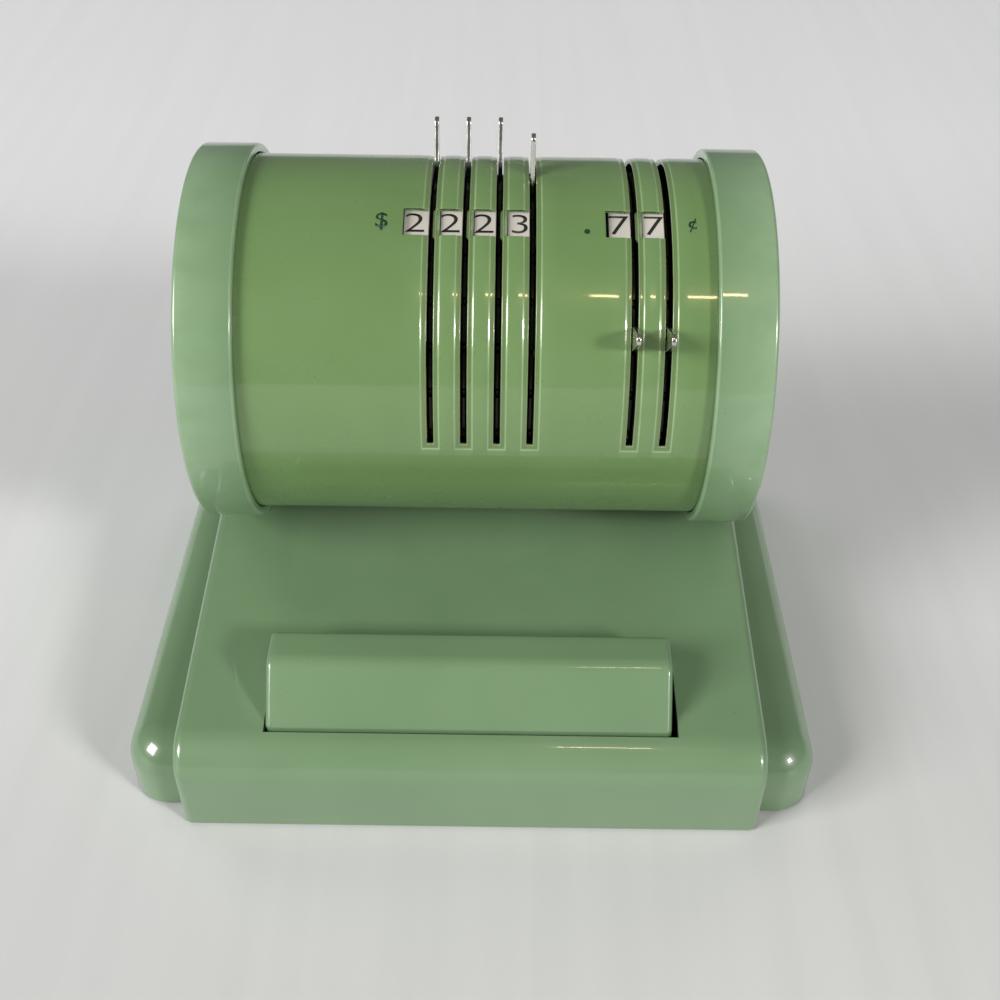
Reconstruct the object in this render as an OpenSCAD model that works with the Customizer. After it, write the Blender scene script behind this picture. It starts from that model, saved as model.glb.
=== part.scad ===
// Desk check writer: a slotted drum with six index levers stands on a sloping
// base, and a palm bar in the base presses the check up against the type.
// Millimetres. X runs to the operator's right, Y to the back and Z up, with
// the origin on the table under the middle of the base.
// Angles round the drum are counted from the front, upwards and over the top.

/* [Drum] */
// Outer radius of the drum cover
drum_r = 55; // [53:0.5:57]
// Sheet thickness of the drum cover
cover_wall = 1.5; // [1.2:0.1:1.8]
// Width of the drum that shows between the end caps
drum_open_w = 134.6; // [133:0.2:138]
// Width of one end cap
cap_w = 16.8; // [16:0.2:20]
// Wall of the end caps
cap_wall = 2.7; // [2.2:0.1:3.2]
// Rounding of the end caps' outer edge
cap_edge_r = 1.2; // [0.6:0.1:1.6]
// Radial fit between the cap skirt and the drum cover
cap_fit = 0.3; // [0.2:0.05:0.5]
// Angle at which the cover ends below the front of the drum
cover_front_end = -64; // [-68:1:-58]
// Angle at which the cover ends low on the back of the drum
cover_rear_end = 195; // [192:1:198]

/* [Number wheels] */
// Pitch of the number wheels, three eighths of an inch
wheel_pitch = 9.525; // [9.5:0.025:9.6]
// Middle of the first lever slot
first_slot_x = -12.8; // [-14:0.1:-12]
// Turn of a wheel from one number to the next
digit_step = 15; // [14:0.25:15]
// Angle of a lever that shows the number seven
seven_angle = 30.7; // [29:0.1:33]
// How far the lever tips stand out of the drum
lever_out = 12; // [9:0.5:15]
// Thickness of the index plates
blade_t = 1.3; // [1.1:0.1:1.5]
// Width of a lever at the drum's surface
lever_root_w = 6.4; // [5:0.1:6.6]
// Width of a lever at its tip
lever_tip_w = 3.8; // [3:0.1:4.6]
// From the type faces in to the edge of the notched index plates
type_depth = 3.1; // [2.6:0.1:3.6]
// Radius of the main shaft
shaft_r = 4; // [3:0.25:5]
// Radius of the wheel hubs
hub_r = 7; // [6:0.25:8]
// Gap between the drum cover and the type faces and dials
face_gap = 0.4; // [0.4:0.1:0.9]

/* [Slots and windows] */
// Width of a lever slot
slot_w = 1.9; // [1.8:0.05:2.2]
// Angle of the slots' lower end
slot_low = -3.6; // [-5:0.1:-3.6]
// Angle of the slots' upper end, behind the top
slot_high = 140.2; // [140.2:0.2:144]
// Width of the sunk track round each slot
track_w = 4.2; // [3.4:0.1:4.6]
// Depth of the sunk tracks
track_depth = 0.25; // [0.15:0.05:0.4]
// Width of a number window
window_w = 7.1; // [6:0.1:7.2]
// Angle of the middle of the windows
window_angle = 66.4; // [62:0.2:70]
// Height of a window along the drum's surface
window_h = 9.7; // [8:0.1:10.5]

/* [Base] */
// Height of the drum's axis above the table
axis_h = 106.5; // [103:0.5:110]
// From the drum's axis to the front of the base
front_reach = 112.3; // [110:0.5:116]
// From the drum's axis to the back of the base
rear_reach = 71.7; // [71:0.5:76]
// Half the width of the sloping deck
deck_half_w = 86.5; // [86.5:0.5:88]
// Half the width over the side mouldings
base_half_w = 104.6; // [103:0.1:106]
// Gap for the check between the end caps and the deck
deck_gap = 1.45; // [1.2:0.05:2]
// Slope of the deck in front of the drum
deck_slope = 7; // [6:0.25:7.5]
// Rounding from the deck into the front face
roll_r = 12; // [9:0.5:14]
// Rounding from the deck into the back face
rear_roll_r = 8; // [6:0.5:8.5]
// Rounding of the deck's side edges
deck_edge_r = 3; // [2.6:0.1:4]
// Lean of the front face towards its foot
front_lean = 7; // [0:0.5:9]
// Wall of the base housing
wall = 2.5; // [2:0.1:2.6]
// Height of the side mouldings above the table
moulding_top = 24; // [22:0.5:26]
// Rounding of the side mouldings
moulding_r = 11.5; // [10:0.5:12]
// Radius of the mouldings' corners in plan
moulding_corner_r = 12.6; // [12:0.1:14]
// How far the mouldings stop short of the front face
moulding_front = 9.7; // [8:0.1:13]
// Lean of the mouldings towards their foot
moulding_lean = 2.2; // [0:0.2:4]
// How far the mouldings stop short of the back face
moulding_rear = 6; // [4:0.5:10]
// Height of the housing's lower rim above the table
rim_h = 0.8; // [0.6:0.1:1]

/* [Neck] */
// Room between the last number wheel and the side frame
side_room = 5.125; // [5:0.125:6]
// From the drum's axis back to the neck, which stops the check
neck_front = 34; // [33:0.5:35]
// Height of the neck's back wall, below the drum's axis
neck_top = -8; // [-9:0.5:-6]
// From the drum's axis back to the foot of the neck
neck_foot = 62.5; // [62:0.5:63]

/* [Press lever] */
// Half the length of the press bar
bar_half_w = 59.4; // [59:0.1:59.8]
// Gap between the press bar and its slot, at each end
bar_end_gap = 1.1; // [1.1:0.1:1.8]
// Shift of the press bar to the right in its slot
bar_shift = -0.7; // [-0.7:0.1:0.7]
// Front edge of the bar slot, from the drum's axis
bar_slot_front = 103.2; // [103:0.2:104]
// Back edge of the bar slot, from the drum's axis
bar_slot_rear = 74; // [73:0.2:75]
// Gap between the press bar and the front of its slot
bar_front_gap = 1.4; // [1.2:0.1:1.8]
// How far the press bar's top stands above the deck, at its back edge
bar_stand = 12.6; // [11:0.1:14]
// Depth of the press bar's flat top
bar_top_depth = 12.7; // [12:0.1:14]
// Slant of the press bar's front, out from its top
bar_slant = 12; // [10:0.2:13]
// Rounding from the press bar's top into its slanted front
bar_front_r = 5.5; // [4:0.5:7]
// Rounding of the press bar's back edge and ends
bar_r = 1.75; // [1:0.25:2]
// Wall of the press bar
bar_wall = 2.2; // [1.8:0.1:2.4]
// Pivot of the press lever, forward of the drum's axis
pivot_f = 40; // [39:0.5:42]
// Height of the press lever's pivot above the table
pivot_h = 20.5; // [19.5:0.5:21.5]
// Radius of the pivot shaft
pivot_r = 3; // [2.5:0.1:3.2]
// Half the span between the press arms
arm_half_span = 50; // [49:0.5:51]
// Sheet thickness of the arms and frames
plate_t = 2.5; // [2:0.1:2.6]
// Depth of the platen pad, front to back
pad_depth = 12; // [10:0.5:12.5]
// Drop of the platen pad below the deck
pad_drop = 0.8; // [0.6:0.1:1.2]

/* [Ribbon] */
// Width of the ribbon
ribbon_w = 12; // [10:0.5:12]
// Thickness of the ribbon
ribbon_t = 0.3; // [0.25:0.05:0.4]
// Radius of the spool flanges
spool_r = 8.2; // [7.5:0.1:8.4]
// Radius of the wound ribbon
roll_of_ribbon_r = 6.4; // [5:0.1:7]
// From the drum's surface in to the spool centres
spool_depth = 15; // [14.5:0.5:16]

/* [Clearances] */
// Radial running fit of a shaft in its bore
run_fit = 0.05; // [0.02:0.01:0.08]
// Gap between pieces that pass each other
pass_gap = 0.35; // [0.3:0.01:0.38]
// Gap between pieces that seat on each other
seat_gap = 0.05; // [0.03:0.01:0.1]
// Gap round the neck where the drum cover sits in it
cover_seat = 0.15; // [0.1:0.05:0.25]

/* [Hidden] */
$fn = 96;
WHEELS = 6;

// Numbers that the wheels show at rest, and their places along the shaft
SHOWN = [2, 2, 2, 3, 7, 7];
PLACE = [0, 1, 2, 3, 6, 7];
function slot_x(k) = first_slot_x + wheel_pitch * PLACE[k - 1];
function lever_angle(k) = seven_angle + (7 - SHOWN[k - 1]) * digit_step;

// Drum and caps
axis_y = (front_reach - rear_reach) / 2;
cover_in_r = drum_r - cover_wall;
cap_r = drum_r + cap_fit + cap_wall;
cap_in_x = drum_open_w / 2;
cap_out_x = cap_in_x + cap_w;
face_r = cover_in_r - face_gap;
plate_r = face_r - type_depth;
lever_r = drum_r + lever_out;
spool_u = spool_depth - drum_r;
cap_floor_x = cap_out_x - cap_wall;
cover_half_w = cap_floor_x - 1.2;

// Wheels: everything left of a blade is set from its slot's middle
dial_right = -slot_w / 2;
dial_left = dial_right - window_w - pass_gap - 0.1;
wheel_left = dial_left;
rim_out_r = plate_r + 0.7;
rim_in_r = rim_out_r - 3.2;
dial_in_r = rim_out_r + seat_gap;
notch_r = 1.2;
type_foot_w = 10.4;
type_face_h = 0.9;

// Frames stand inside the drum, outboard of the wheels
frame_in_x = slot_x(WHEELS) + blade_t / 2 + pass_gap + side_room;
frame_out_x = frame_in_x + plate_t;
neck_half_w = frame_out_x + 1 + wall;
frame_disc_r = cover_in_r - 0.2;
ribbon_notch = ribbon_w / 2 + 2;
spool_x = (frame_out_x + cap_floor_x) / 2 + 0.35;
notch_top = spool_u - roll_of_ribbon_r + 0.4;
foot_half = 7;
foot_in = frame_in_x - foot_half;
FOOT_PLACES = [pivot_f - 24, -neck_front - 6];

// Base
deck_d = cap_r + deck_gap;
deck_below = 30;
plate_bottom = rim_h + 0.4;
plate_top = plate_bottom + 1.5;
floor_u = plate_top - axis_h;
plate_gap = 0.4;
function deck_u(f) = -deck_d - max(f, 0) * tan(deck_slope);

// From the centre of a rounding to a face that leans by a, at h below the centre
function leaned(r, h, a) = r * cos(a) - (h - r * sin(a)) * tan(a);

// Centre of the roll from the sloping deck into an end face, forward and up
function roll_centre(reach, slope, r) =
    [reach - r, -deck_d - (reach - r + r * sin(slope)) * tan(slope) - r * cos(slope)];

// Press lever
pivot_u = pivot_h - axis_h;
bar_front = bar_slot_front - bar_front_gap;
bar_top_front = bar_front - bar_slant;
bar_back = bar_top_front - bar_top_depth;
bar_skirt = deck_u(bar_front) - 8;
bar_top = deck_u(bar_back) + bar_stand;
bar_slope = atan2(bar_top - deck_u(bar_front), bar_slant);
pad_top = -deck_d - pad_drop;
bar_screw = [bar_back + 7, bar_top - 7];
pad_t = 2;
platen_t = 4;
platen_half_w = frame_in_x - 4;
platen_slot_front = pad_depth / 2 + 4.5;
platen_slot_rear = pad_depth / 2 + 1.5;
platen_slot_low = -deck_d - wall - 4;
arm_out_x = arm_half_span + plate_t;
lug_f = 0;
lug_u = pivot_u + 8;
lug_r = 1.5;
spring_x = arm_half_span - 3.5;
wire_r = 0.45;
hook_r = lug_r + pass_gap + wire_r;

// Tie rods and detents, in the neck and the base
tie_r = 2.5;
TIE_RODS = [[-neck_foot + wall + 10, -deck_d - wall - 6], [-30, floor_u + tie_r + 9.3]];
detent_angle = 222;
leaf_t = 0.6;
bar_centre = [-44.5, -50];
bar_size = [5, 6];

// Spools
pin_r = 1.5;
flange_t = 0.8;
tab_in_y = ribbon_w / 2 + flange_t + pass_gap + 0.85;
tab_t = 1.5;

// ---------------------------------------------------------------- helpers

// Extrudes a side view, drawn as forward and up from the drum's axis
module side_view(x0, t)
    translate([x0 + t, axis_y, axis_h])
        rotate([90, 0, -90])
            linear_extrude(t)
                children();

// Both sides of the middle
module both_sides() {
    children();
    mirror([1, 0, 0]) children();
}

// A pie slice from angle a1 to a2, larger than radius r
module pie(r, a1, a2) {
    steps = ceil((a2 - a1) / 45);
    reach = r * 1.2;
    polygon(concat([[0, 0]], [for (i = [0:steps])
        let (a = a1 + (a2 - a1) * i / steps) reach * [cos(a), sin(a)]]));
}

// Part of a ring between two radii and two angles
module ring_part(r1, r2, a1, a2)
    intersection() {
        difference() {
            circle(r2);
            circle(r1);
        }
        pie(r2, a1, a2);
    }

// Section with two round shoulders, its top at zero
module shouldered(w, r, depth) {
    translate([-w, -depth]) square([2 * w, depth - r]);
    translate([-w + r, -depth]) square([2 * (w - r), depth]);
    for (s = [-1, 1])
        translate([s * (w - r), -r]) circle(r);
}

// A straight rod along X at a place in the side view
module cross_rod(f, u, r, x0, x1)
    translate([x0, axis_y - f, axis_h + u])
        rotate([0, 90, 0])
            cylinder(r = r, h = x1 - x0);

// Tube swept along points: rings of n corners, closed at both ends
module tube(path, r, n) {
    last = len(path) - 1;
    function dir(i) = path[min(i + 1, last)] - path[max(i - 1, 0)];
    function unit(v) = v / norm(v);
    rings = [for (i = [0:last])
        let (t = unit(dir(i)),
             s = unit(cross(t, abs(t[2]) > 0.9 ? [1, 0, 0] : [0, 0, 1])),
             q = cross(t, s))
        for (j = [0:n - 1]) path[i] + r * (cos(360 * j / n) * s + sin(360 * j / n) * q)];
    walls = [for (i = [0:last - 1], j = [0:n - 1])
        let (k = (j + 1) % n, a = i * n, b = a + n)
        each [[a + j, a + k, b + j], [a + k, b + k, b + j]]];
    ends = concat([for (j = [1:n - 2]) [0, j + 1, j]],
                  [for (j = [1:n - 2]) [last * n, last * n + j, last * n + j + 1]]);
    polyhedron(rings, [for (f = concat(walls, ends)) [f[0], f[2], f[1]]]);
}

// ------------------------------------------------------------------ base

// The base with one end's top, roll and face; its top runs on past the far end,
// where the other end's form cuts it
module deck_end(reach, far_reach, slope, r_roll, lean) {
    centre = roll_centre(reach, slope, r_roll);
    face_h = axis_h + centre[1] + deck_below;
    deck_run = (reach + far_reach) / cos(slope);
    translate([0, -centre[0], centre[1]]) {
        rotate([slope, 0, 0])
            translate([0, deck_run, r_roll])
                rotate([90, 0, 0])
                    linear_extrude(deck_run)
                        shouldered(deck_half_w, deck_edge_r, axis_h - deck_d + deck_below);
        rotate([90, 0, -90])
            rotate([0, 0, -lean]) {
                rotate_extrude(angle = 90 - slope + lean)
                    translate([r_roll, 0]) rotate(-90) shouldered(deck_half_w, deck_edge_r, r_roll);
                rotate([90, 0, 0])
                    linear_extrude(face_h)
                        translate([r_roll, 0])
                            rotate(-90) shouldered(deck_half_w, deck_edge_r, centre[0] - wall);
            }
    }
}

module deck_form()
    translate([0, axis_y, axis_h])
        intersection() {
            deck_end(front_reach, rear_reach, deck_slope, roll_r, front_lean);
            mirror([0, 1, 0]) deck_end(rear_reach, front_reach, 0, rear_roll_r, 0);
        }

// Hollow of the base, one wall inside the deck's form
module deck_inside() {
    front = roll_centre(front_reach, deck_slope, roll_r);
    rear = roll_centre(rear_reach, 0, rear_roll_r);
    back = [-rear[0], rear[1]];
    r_front = roll_r - wall;
    r_back = rear_roll_r - wall;
    side = front + r_front * [cos(front_lean), -sin(front_lean)];
    drop = axis_h + side[1] + deck_below;
    side_view(-deck_half_w + wall, 2 * (deck_half_w - wall)) {
        polygon([front + r_front * [sin(deck_slope), cos(deck_slope)],
                 [-wall * tan(deck_slope / 2), -deck_d - wall],
                 back + [0, r_back], back, back - [r_back, 0],
                 [back[0] - r_back, side[1] - drop],
                 side - drop * [tan(front_lean), 1], side, front]);
        translate(front) circle(r_front);
        translate(back) circle(r_back);
    }
}

// Places and radii that the mouldings and the bottom plate share
corner_x = base_half_w - moulding_corner_r;
corner_front_y = axis_y - front_reach + moulding_front + moulding_corner_r;
corner_rear_y = axis_y + rear_reach - moulding_rear - moulding_corner_r;
moulding_z = moulding_top - moulding_r;
moulding_out = moulding_corner_r - moulding_r;

// Half section of a moulding moved in by i, from the corner's centre outwards:
// leaned side, round shoulder and flat top, with its solid reaching in by inner
module moulding_side(i, inner) {
    r = moulding_r - i;
    tangent = [moulding_out + r * cos(moulding_lean), moulding_z - r * sin(moulding_lean)];
    foot = moulding_out + leaned(r, moulding_z, moulding_lean);
    polygon([[-inner, 0], [foot, 0], tangent, [-inner, tangent[1]]]);
    translate([-inner, 0]) square([inner + moulding_out, moulding_z + r]);
    intersection() {
        translate([moulding_out, moulding_z]) circle(r);
        translate([moulding_out, moulding_z - r - 1]) square([r + 1, 2 * r + 2]);
    }
}

// Side moulding, moved in by i: straight side, two end strips, two round corners
module moulding(i) {
    x_in = deck_half_w - 12;
    length = corner_rear_y - corner_front_y;
    translate([corner_x, corner_rear_y, 0])
        rotate([90, 0, 0])
            linear_extrude(length)
                moulding_side(i, corner_x - x_in);
    for (end = [[corner_x, corner_front_y, -90], [x_in, corner_rear_y, 90]])
        translate([end[0], end[1], 0])
            rotate([90, 0, end[2]])
                linear_extrude(corner_x - x_in)
                    moulding_side(i, 1);
    for (corner = [[corner_front_y, -90], [corner_rear_y, 0]])
        translate([corner_x, corner[0], 0])
            rotate([0, 0, corner[1]])
                rotate_extrude(angle = 90)
                    moulding_side(i, 0);
}

// Neck behind the throat, moved in by i; its top is open towards the drum
module neck_form(i)
    side_view(-neck_half_w + i, 2 * (neck_half_w - i))
        polygon([[-neck_front - i, -deck_d - 4],
                 [-neck_front - i, neck_top + (i > 0 ? 9 : 0)],
                 [-(drum_r + 2.6) + i, neck_top + (i > 0 ? 9 : 0)],
                 [-neck_foot + i, -deck_d - 4]]);

// Places of the four bosses that hold the bottom plate
boss_r = 4.2;
boss_x = (bar_half_w + bar_end_gap + deck_half_w - wall) / 2;
BOSSES = [for (x = [-boss_x, boss_x], f = [front_reach - 28.3, -rear_reach + 17.7]) [x, f]];
pilot_r = 1.5;

module base_housing()
    color("darkseagreen")
    difference() {
        union() {
            difference() {
                intersection() {
                    union() {
                        deck_form();
                        both_sides() moulding(0);
                        neck_form(0);
                    }
                    translate([-base_half_w - 1, -front_reach, rim_h])
                        cube([2 * base_half_w + 2, 2 * front_reach, axis_h]);
                }
                deck_inside();
                both_sides() moulding(wall);
                neck_form(wall);
                neck_inside();
            }
            for (b = BOSSES)
                translate([b[0], axis_y - b[1], plate_top])
                    cylinder(r = boss_r, h = axis_h + deck_u(b[1] + boss_r) - wall / 2 - plate_top);
        }
        // seat of the drum cover
        cross_rod(0, 0, drum_r + cover_seat, -deck_half_w, deck_half_w);
        // slot of the press bar
        side_view(-bar_half_w - bar_end_gap, 2 * (bar_half_w + bar_end_gap))
            translate([bar_slot_rear, -axis_h])
                square([bar_slot_front - bar_slot_rear, axis_h - deck_d + 1]);
        // slot of the platen
        side_view(-platen_half_w - 1.5, 2 * (platen_half_w + 1.5))
            translate([-platen_slot_rear, platen_slot_low])
                square([platen_slot_front + platen_slot_rear, -deck_d + 1 - platen_slot_low]);
        // pilot holes of the bosses
        for (b = BOSSES)
            translate([b[0], axis_y - b[1], plate_top - 1]) cylinder(r = pilot_r, h = 12);
    }

// Way from the base up through the deck into the neck
module neck_inside()
    side_view(-neck_half_w + wall, 2 * (neck_half_w - wall))
        polygon([[-neck_front - wall, -deck_d - 8], [-neck_front - wall, -deck_d],
                 [-neck_foot + wall, -deck_d], [-neck_foot + wall, -deck_d - 8]]);

foot_r = 8;
foot_x = corner_x - 4;
PLATE_FEET = [for (x = [-foot_x, foot_x], y = [corner_front_y + 2, corner_rear_y - 3.1]) [x, y]];

// Sheet that closes the base, a little inside the housing's walls all round
module bottom_plate() {
    roll = roll_centre(front_reach, deck_slope, roll_r);
    y_front = axis_y - roll[0] + plate_gap
        - leaned(roll_r - wall, axis_h + roll[1] - plate_bottom, front_lean);
    y_rear = axis_y + rear_reach - wall - plate_gap;
    r = moulding_out + leaned(moulding_r - wall, moulding_z - plate_bottom, moulding_lean)
        - plate_gap;
    deck_w = deck_half_w - wall - plate_gap;
    color("dimgray") {
        difference() {
            translate([0, 0, plate_bottom])
                linear_extrude(plate_top - plate_bottom) {
                    translate([-deck_w, y_front]) square([2 * deck_w, y_rear - y_front]);
                    translate([-corner_x, corner_front_y - r])
                        square([2 * corner_x, corner_rear_y - corner_front_y + 2 * r]);
                    translate([-corner_x - r, corner_front_y])
                        square([2 * (corner_x + r), corner_rear_y - corner_front_y]);
                    for (x = [-corner_x, corner_x], y = [corner_front_y, corner_rear_y])
                        translate([x, y]) circle(r);
                }
            for (s = SCREWS)
                translate([s[0], s[1], 0]) cylinder(r = screw_r + 0.2, h = 10);
        }
        both_sides() spring_ear();
    }
}

// Ear that holds a return spring's lower hook
ear_hole_z = plate_top + 2.5;
module spring_ear()
    difference() {
        translate([spring_x - 2.5, axis_y - lug_f - 0.6, plate_top - 0.5]) cube([5, 1.2, 5.5]);
        translate([spring_x, axis_y - lug_f - 5, ear_hole_z])
            rotate([-90, 0, 0]) cylinder(r = 1.2, h = 10);
    }

module rubber_feet()
    color("black")
    for (p = PLATE_FEET)
        translate([p[0], p[1], 0])
            rotate_extrude()
                polygon([[0, 0], [foot_r - 0.6, 0], [foot_r, 0.6],
                         [foot_r, plate_bottom], [0, plate_bottom]]);

// Screws: four into the housing's bosses and four into the frames' feet
FRAME_FEET = [for (x = [-foot_in, foot_in], f = FOOT_PLACES) [x, axis_y - f]];
screw_r = 1.45;
SCREWS = concat([for (b = BOSSES) [b[0], axis_y - b[1], 10]],
                [for (p = FRAME_FEET) [p[0], p[1], 4]]);

module chassis_screws()
    color("silver")
    for (s = SCREWS)
        translate([s[0], s[1], 0]) {
            difference() {
                translate([0, 0, 0.3]) cylinder(r = 2.8, h = plate_bottom - 0.3);
                translate([-3, -0.3, 0]) cube([6, 0.6, 0.6]);
            }
            translate([0, 0, plate_bottom - 0.2])
                cylinder(r = screw_r, h = plate_top - plate_bottom + s[2] - 1.8);
        }

// ---------------------------------------------------------------- frames

// C shape: a disc in the drum, a leg down the neck and an arm under the deck
module frame_outline() {
    difference() {
        union() {
            circle(frame_disc_r);
            polygon([[-neck_front - wall - 0.5, -30],
                     [-neck_front - wall - 0.5, -deck_d - wall - 5],
                     [pivot_f + 6, deck_u(pivot_f + 6) - wall - 5],
                     [pivot_f + 13, pivot_u + 4], [pivot_f + 13, pivot_u - 7],
                     [pivot_f + 4, floor_u], [-50, floor_u],
                     [-neck_foot + wall + 4, -deck_d - 2], [-47, -20]]);
        }
        translate([-ribbon_notch, -frame_disc_r - 1])
            square([2 * ribbon_notch, notch_top + frame_disc_r + 1]);
        circle(shaft_r + run_fit);
        translate([pivot_f, pivot_u]) circle(pivot_r + run_fit);
        for (t = TIE_RODS)
            translate(t) circle(tie_r + run_fit);
        for (a = [35, 90, 145])
            rotate(a) translate([frame_disc_r * 0.56, 0]) circle(9);
    }
}

module frame_plate()
    difference() {
        union() {
            side_view(frame_in_x, plate_t) frame_outline();
            // feet turned in on the bottom plate
            for (f = FOOT_PLACES)
                translate([foot_in - foot_half + 1, axis_y - f - foot_half, plate_top])
                    cube([2 * foot_half - 0.5, 2 * foot_half, 2]);
            // tabs that hold the spool pin
            for (y = [tab_in_y, -tab_in_y - tab_t])
                translate([frame_out_x - 0.5, axis_y + y, axis_h + spool_u - 5])
                    cube([spool_x + 4 - frame_out_x, tab_t, 10]);
        }
        translate([spool_x, axis_y - 20, axis_h + spool_u])
            rotate([-90, 0, 0]) cylinder(r = pin_r + run_fit, h = 40);
        for (f = FOOT_PLACES)
            translate([foot_in, axis_y - f, 0]) cylinder(r = screw_r + run_fit, h = 10);
    }

module right_frame() color("lightsteelblue") frame_plate();
module left_frame() color("lightsteelblue") mirror([1, 0, 0]) frame_plate();

module main_shaft()
    color("silver")
    difference() {
        cross_rod(0, 0, shaft_r, -cap_floor_x + seat_gap, cap_floor_x - seat_gap);
        both_sides() cross_rod(0, 0, 1.7, cap_floor_x - 12, cap_floor_x + 1);
    }

module spacer(x0, x1)
    difference() {
        cross_rod(0, 0, hub_r, x0, x1);
        cross_rod(0, 0, shaft_r + run_fit, x0 - 1, x1 + 1);
    }

prefix_x0 = -frame_in_x + 2;
prefix_x1 = slot_x(1) + wheel_left - pass_gap;

module shaft_spacers()
    color("silver") {
        spacer(-frame_in_x + seat_gap, prefix_x0 - seat_gap);
        spacer(slot_x(6) + blade_t / 2 + pass_gap, frame_in_x - seat_gap);
    }

module pivot_shaft()
    color("silver")
    difference() {
        cross_rod(pivot_f, pivot_u, pivot_r, -frame_out_x - 3, frame_out_x + 3);
        // grooves for the retaining clips
        both_sides()
            difference() {
                cross_rod(pivot_f, pivot_u, pivot_r + 1, frame_out_x + 1, frame_out_x + 1.8);
                cross_rod(pivot_f, pivot_u, pivot_r - 0.7, frame_out_x, frame_out_x + 3);
            }
    }

module tie_rods()
    color("silver")
    for (t = TIE_RODS) {
        cross_rod(t[0], t[1], tie_r, -frame_out_x, frame_out_x);
        both_sides() cross_rod(t[0], t[1], tie_r + 1.2, frame_out_x + seat_gap, frame_out_x + 1.5);
        both_sides() cross_rod(t[0], t[1], tie_r, frame_out_x - 1, frame_out_x + 1);
    }

// ------------------------------------------------------------ drum shells

half_window = window_h / 2 / drum_r * 180 / PI;

module drum_cover()
    color("olivedrab")
    difference() {
        side_view(-cover_half_w, 2 * cover_half_w)
            ring_part(cover_in_r, drum_r, cover_front_end, cover_rear_end);
        for (k = [1:WHEELS]) {
            side_view(slot_x(k) - slot_w / 2, slot_w)
                ring_part(cover_in_r - 2, drum_r + 2, slot_low, slot_high);
            side_view(slot_x(k) - track_w / 2, track_w)
                ring_part(drum_r - track_depth, drum_r + 2, slot_low - 1.7, slot_high + 1.7);
            side_view(slot_x(k) - slot_w / 2 - window_w, window_w + 0.1)
                ring_part(cover_in_r - 2, drum_r + 2, window_angle - half_window,
                          window_angle + half_window);
        }
    }

// Cup with a round outer edge, opening towards the drum
module end_cap()
    translate([0, axis_y, axis_h])
        rotate([0, 90, 0])
            rotate_extrude()
                difference() {
                    union() {
                        translate([0, cap_in_x]) square([cap_r, cap_w - cap_edge_r]);
                        translate([0, cap_in_x]) square([cap_r - cap_edge_r, cap_w]);
                        translate([cap_r - cap_edge_r, cap_out_x - cap_edge_r]) circle(cap_edge_r);
                    }
                    translate([-1, cap_in_x - 1])
                        square([cap_r - cap_wall + 1, cap_floor_x - cap_in_x + 1]);
                    translate([-1, cap_in_x]) square([3.3, cap_w + 2]);
                }

module right_end_cap() color("darkseagreen") end_cap();
module left_end_cap() color("darkseagreen") mirror([1, 0, 0]) end_cap();

module cap_screws()
    color("silver")
    both_sides()
        difference() {
            translate([0, axis_y, axis_h])
                rotate([0, 90, 0])
                    rotate_extrude()
                        polygon([[0, cap_floor_x - 9], [1.6, cap_floor_x - 9],
                                 [1.6, cap_out_x + seat_gap], [4.2, cap_out_x + seat_gap],
                                 [4.2, cap_out_x + 0.8], [3.2, cap_out_x + 1.6], [0, cap_out_x + 1.9]]);
            translate([cap_out_x + 1, axis_y - 0.5, axis_h - 5]) cube([2, 1, 10]);
        }

// ---------------------------------------------------------------- wheels

module number_wheel(k)
    color("slategray")
    difference() {
        union() {
            // rim, web and hub
            side_view(slot_x(k) + wheel_left, dial_right - wheel_left)
                ring_part(rim_in_r, rim_out_r, 0, 360);
            side_view(slot_x(k) - 4.5, 2)
                circle(rim_in_r + 0.5);
            cross_rod(0, 0, hub_r + 3, slot_x(k) + wheel_left, slot_x(k) - blade_t / 2);
            cross_rod(0, 0, hub_r, slot_x(k) - blade_t / 2, slot_x(k) + blade_t / 2);
        }
        cross_rod(0, 0, shaft_r + run_fit, slot_x(k) - 20, slot_x(k) + 20);
        side_view(slot_x(k) - 6, 5)
            for (a = [0:60:300])
                rotate(a) translate([29, 0]) circle(9.5);
    }

// Notched plate with the lever that the operator pushes
module index_lever(k)
    color("gainsboro")
    side_view(slot_x(k) - blade_t / 2, blade_t)
        difference() {
            union() {
                circle(plate_r);
                rotate(lever_angle(k)) {
                    polygon([[plate_r - 4, -lever_root_w / 2 - 0.6],
                             [drum_r, -lever_root_w / 2],
                             [lever_r - lever_tip_w / 2, -lever_tip_w / 2],
                             [lever_r - lever_tip_w / 2, lever_tip_w / 2],
                             [drum_r, lever_root_w / 2],
                             [plate_r - 4, lever_root_w / 2 + 0.6]]);
                    translate([lever_r - lever_tip_w / 2, 0]) circle(lever_tip_w / 2);
                }
            }
            circle(hub_r + seat_gap);
            for (i = [0:23])
                rotate(detent_angle + i * digit_step) translate([plate_r + 0.2, 0]) circle(notch_r);
            for (a = [30:60:330])
                rotate(a) translate([29, 0]) circle(8);
        }

// Arc with the numbers that show in the window
module number_dial(k)
    color("whitesmoke")
    side_view(slot_x(k) + dial_left, dial_right - dial_left)
        ring_part(dial_in_r, face_r, window_angle - (SHOWN[k - 1] + 0.5) * digit_step,
                  window_angle + (9.5 - SHOWN[k - 1]) * digit_step);

// Arc of ten type faces for printing, the one in use at the bottom
module type_ring(k) {
    low = -90 - SHOWN[k - 1] * digit_step;
    color("goldenrod") {
        side_view(slot_x(k) + dial_left, dial_right - dial_left)
            ring_part(dial_in_r, face_r - type_face_h, low - 0.4 * digit_step,
                      low + 9.4 * digit_step);
        side_view(slot_x(k) + dial_left + 1, dial_right - dial_left - 2)
            for (i = [0:9])
                ring_part(face_r - type_face_h - 0.5, face_r, low + i * digit_step - 4,
                          low + i * digit_step + 4);
    }
}

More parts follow.
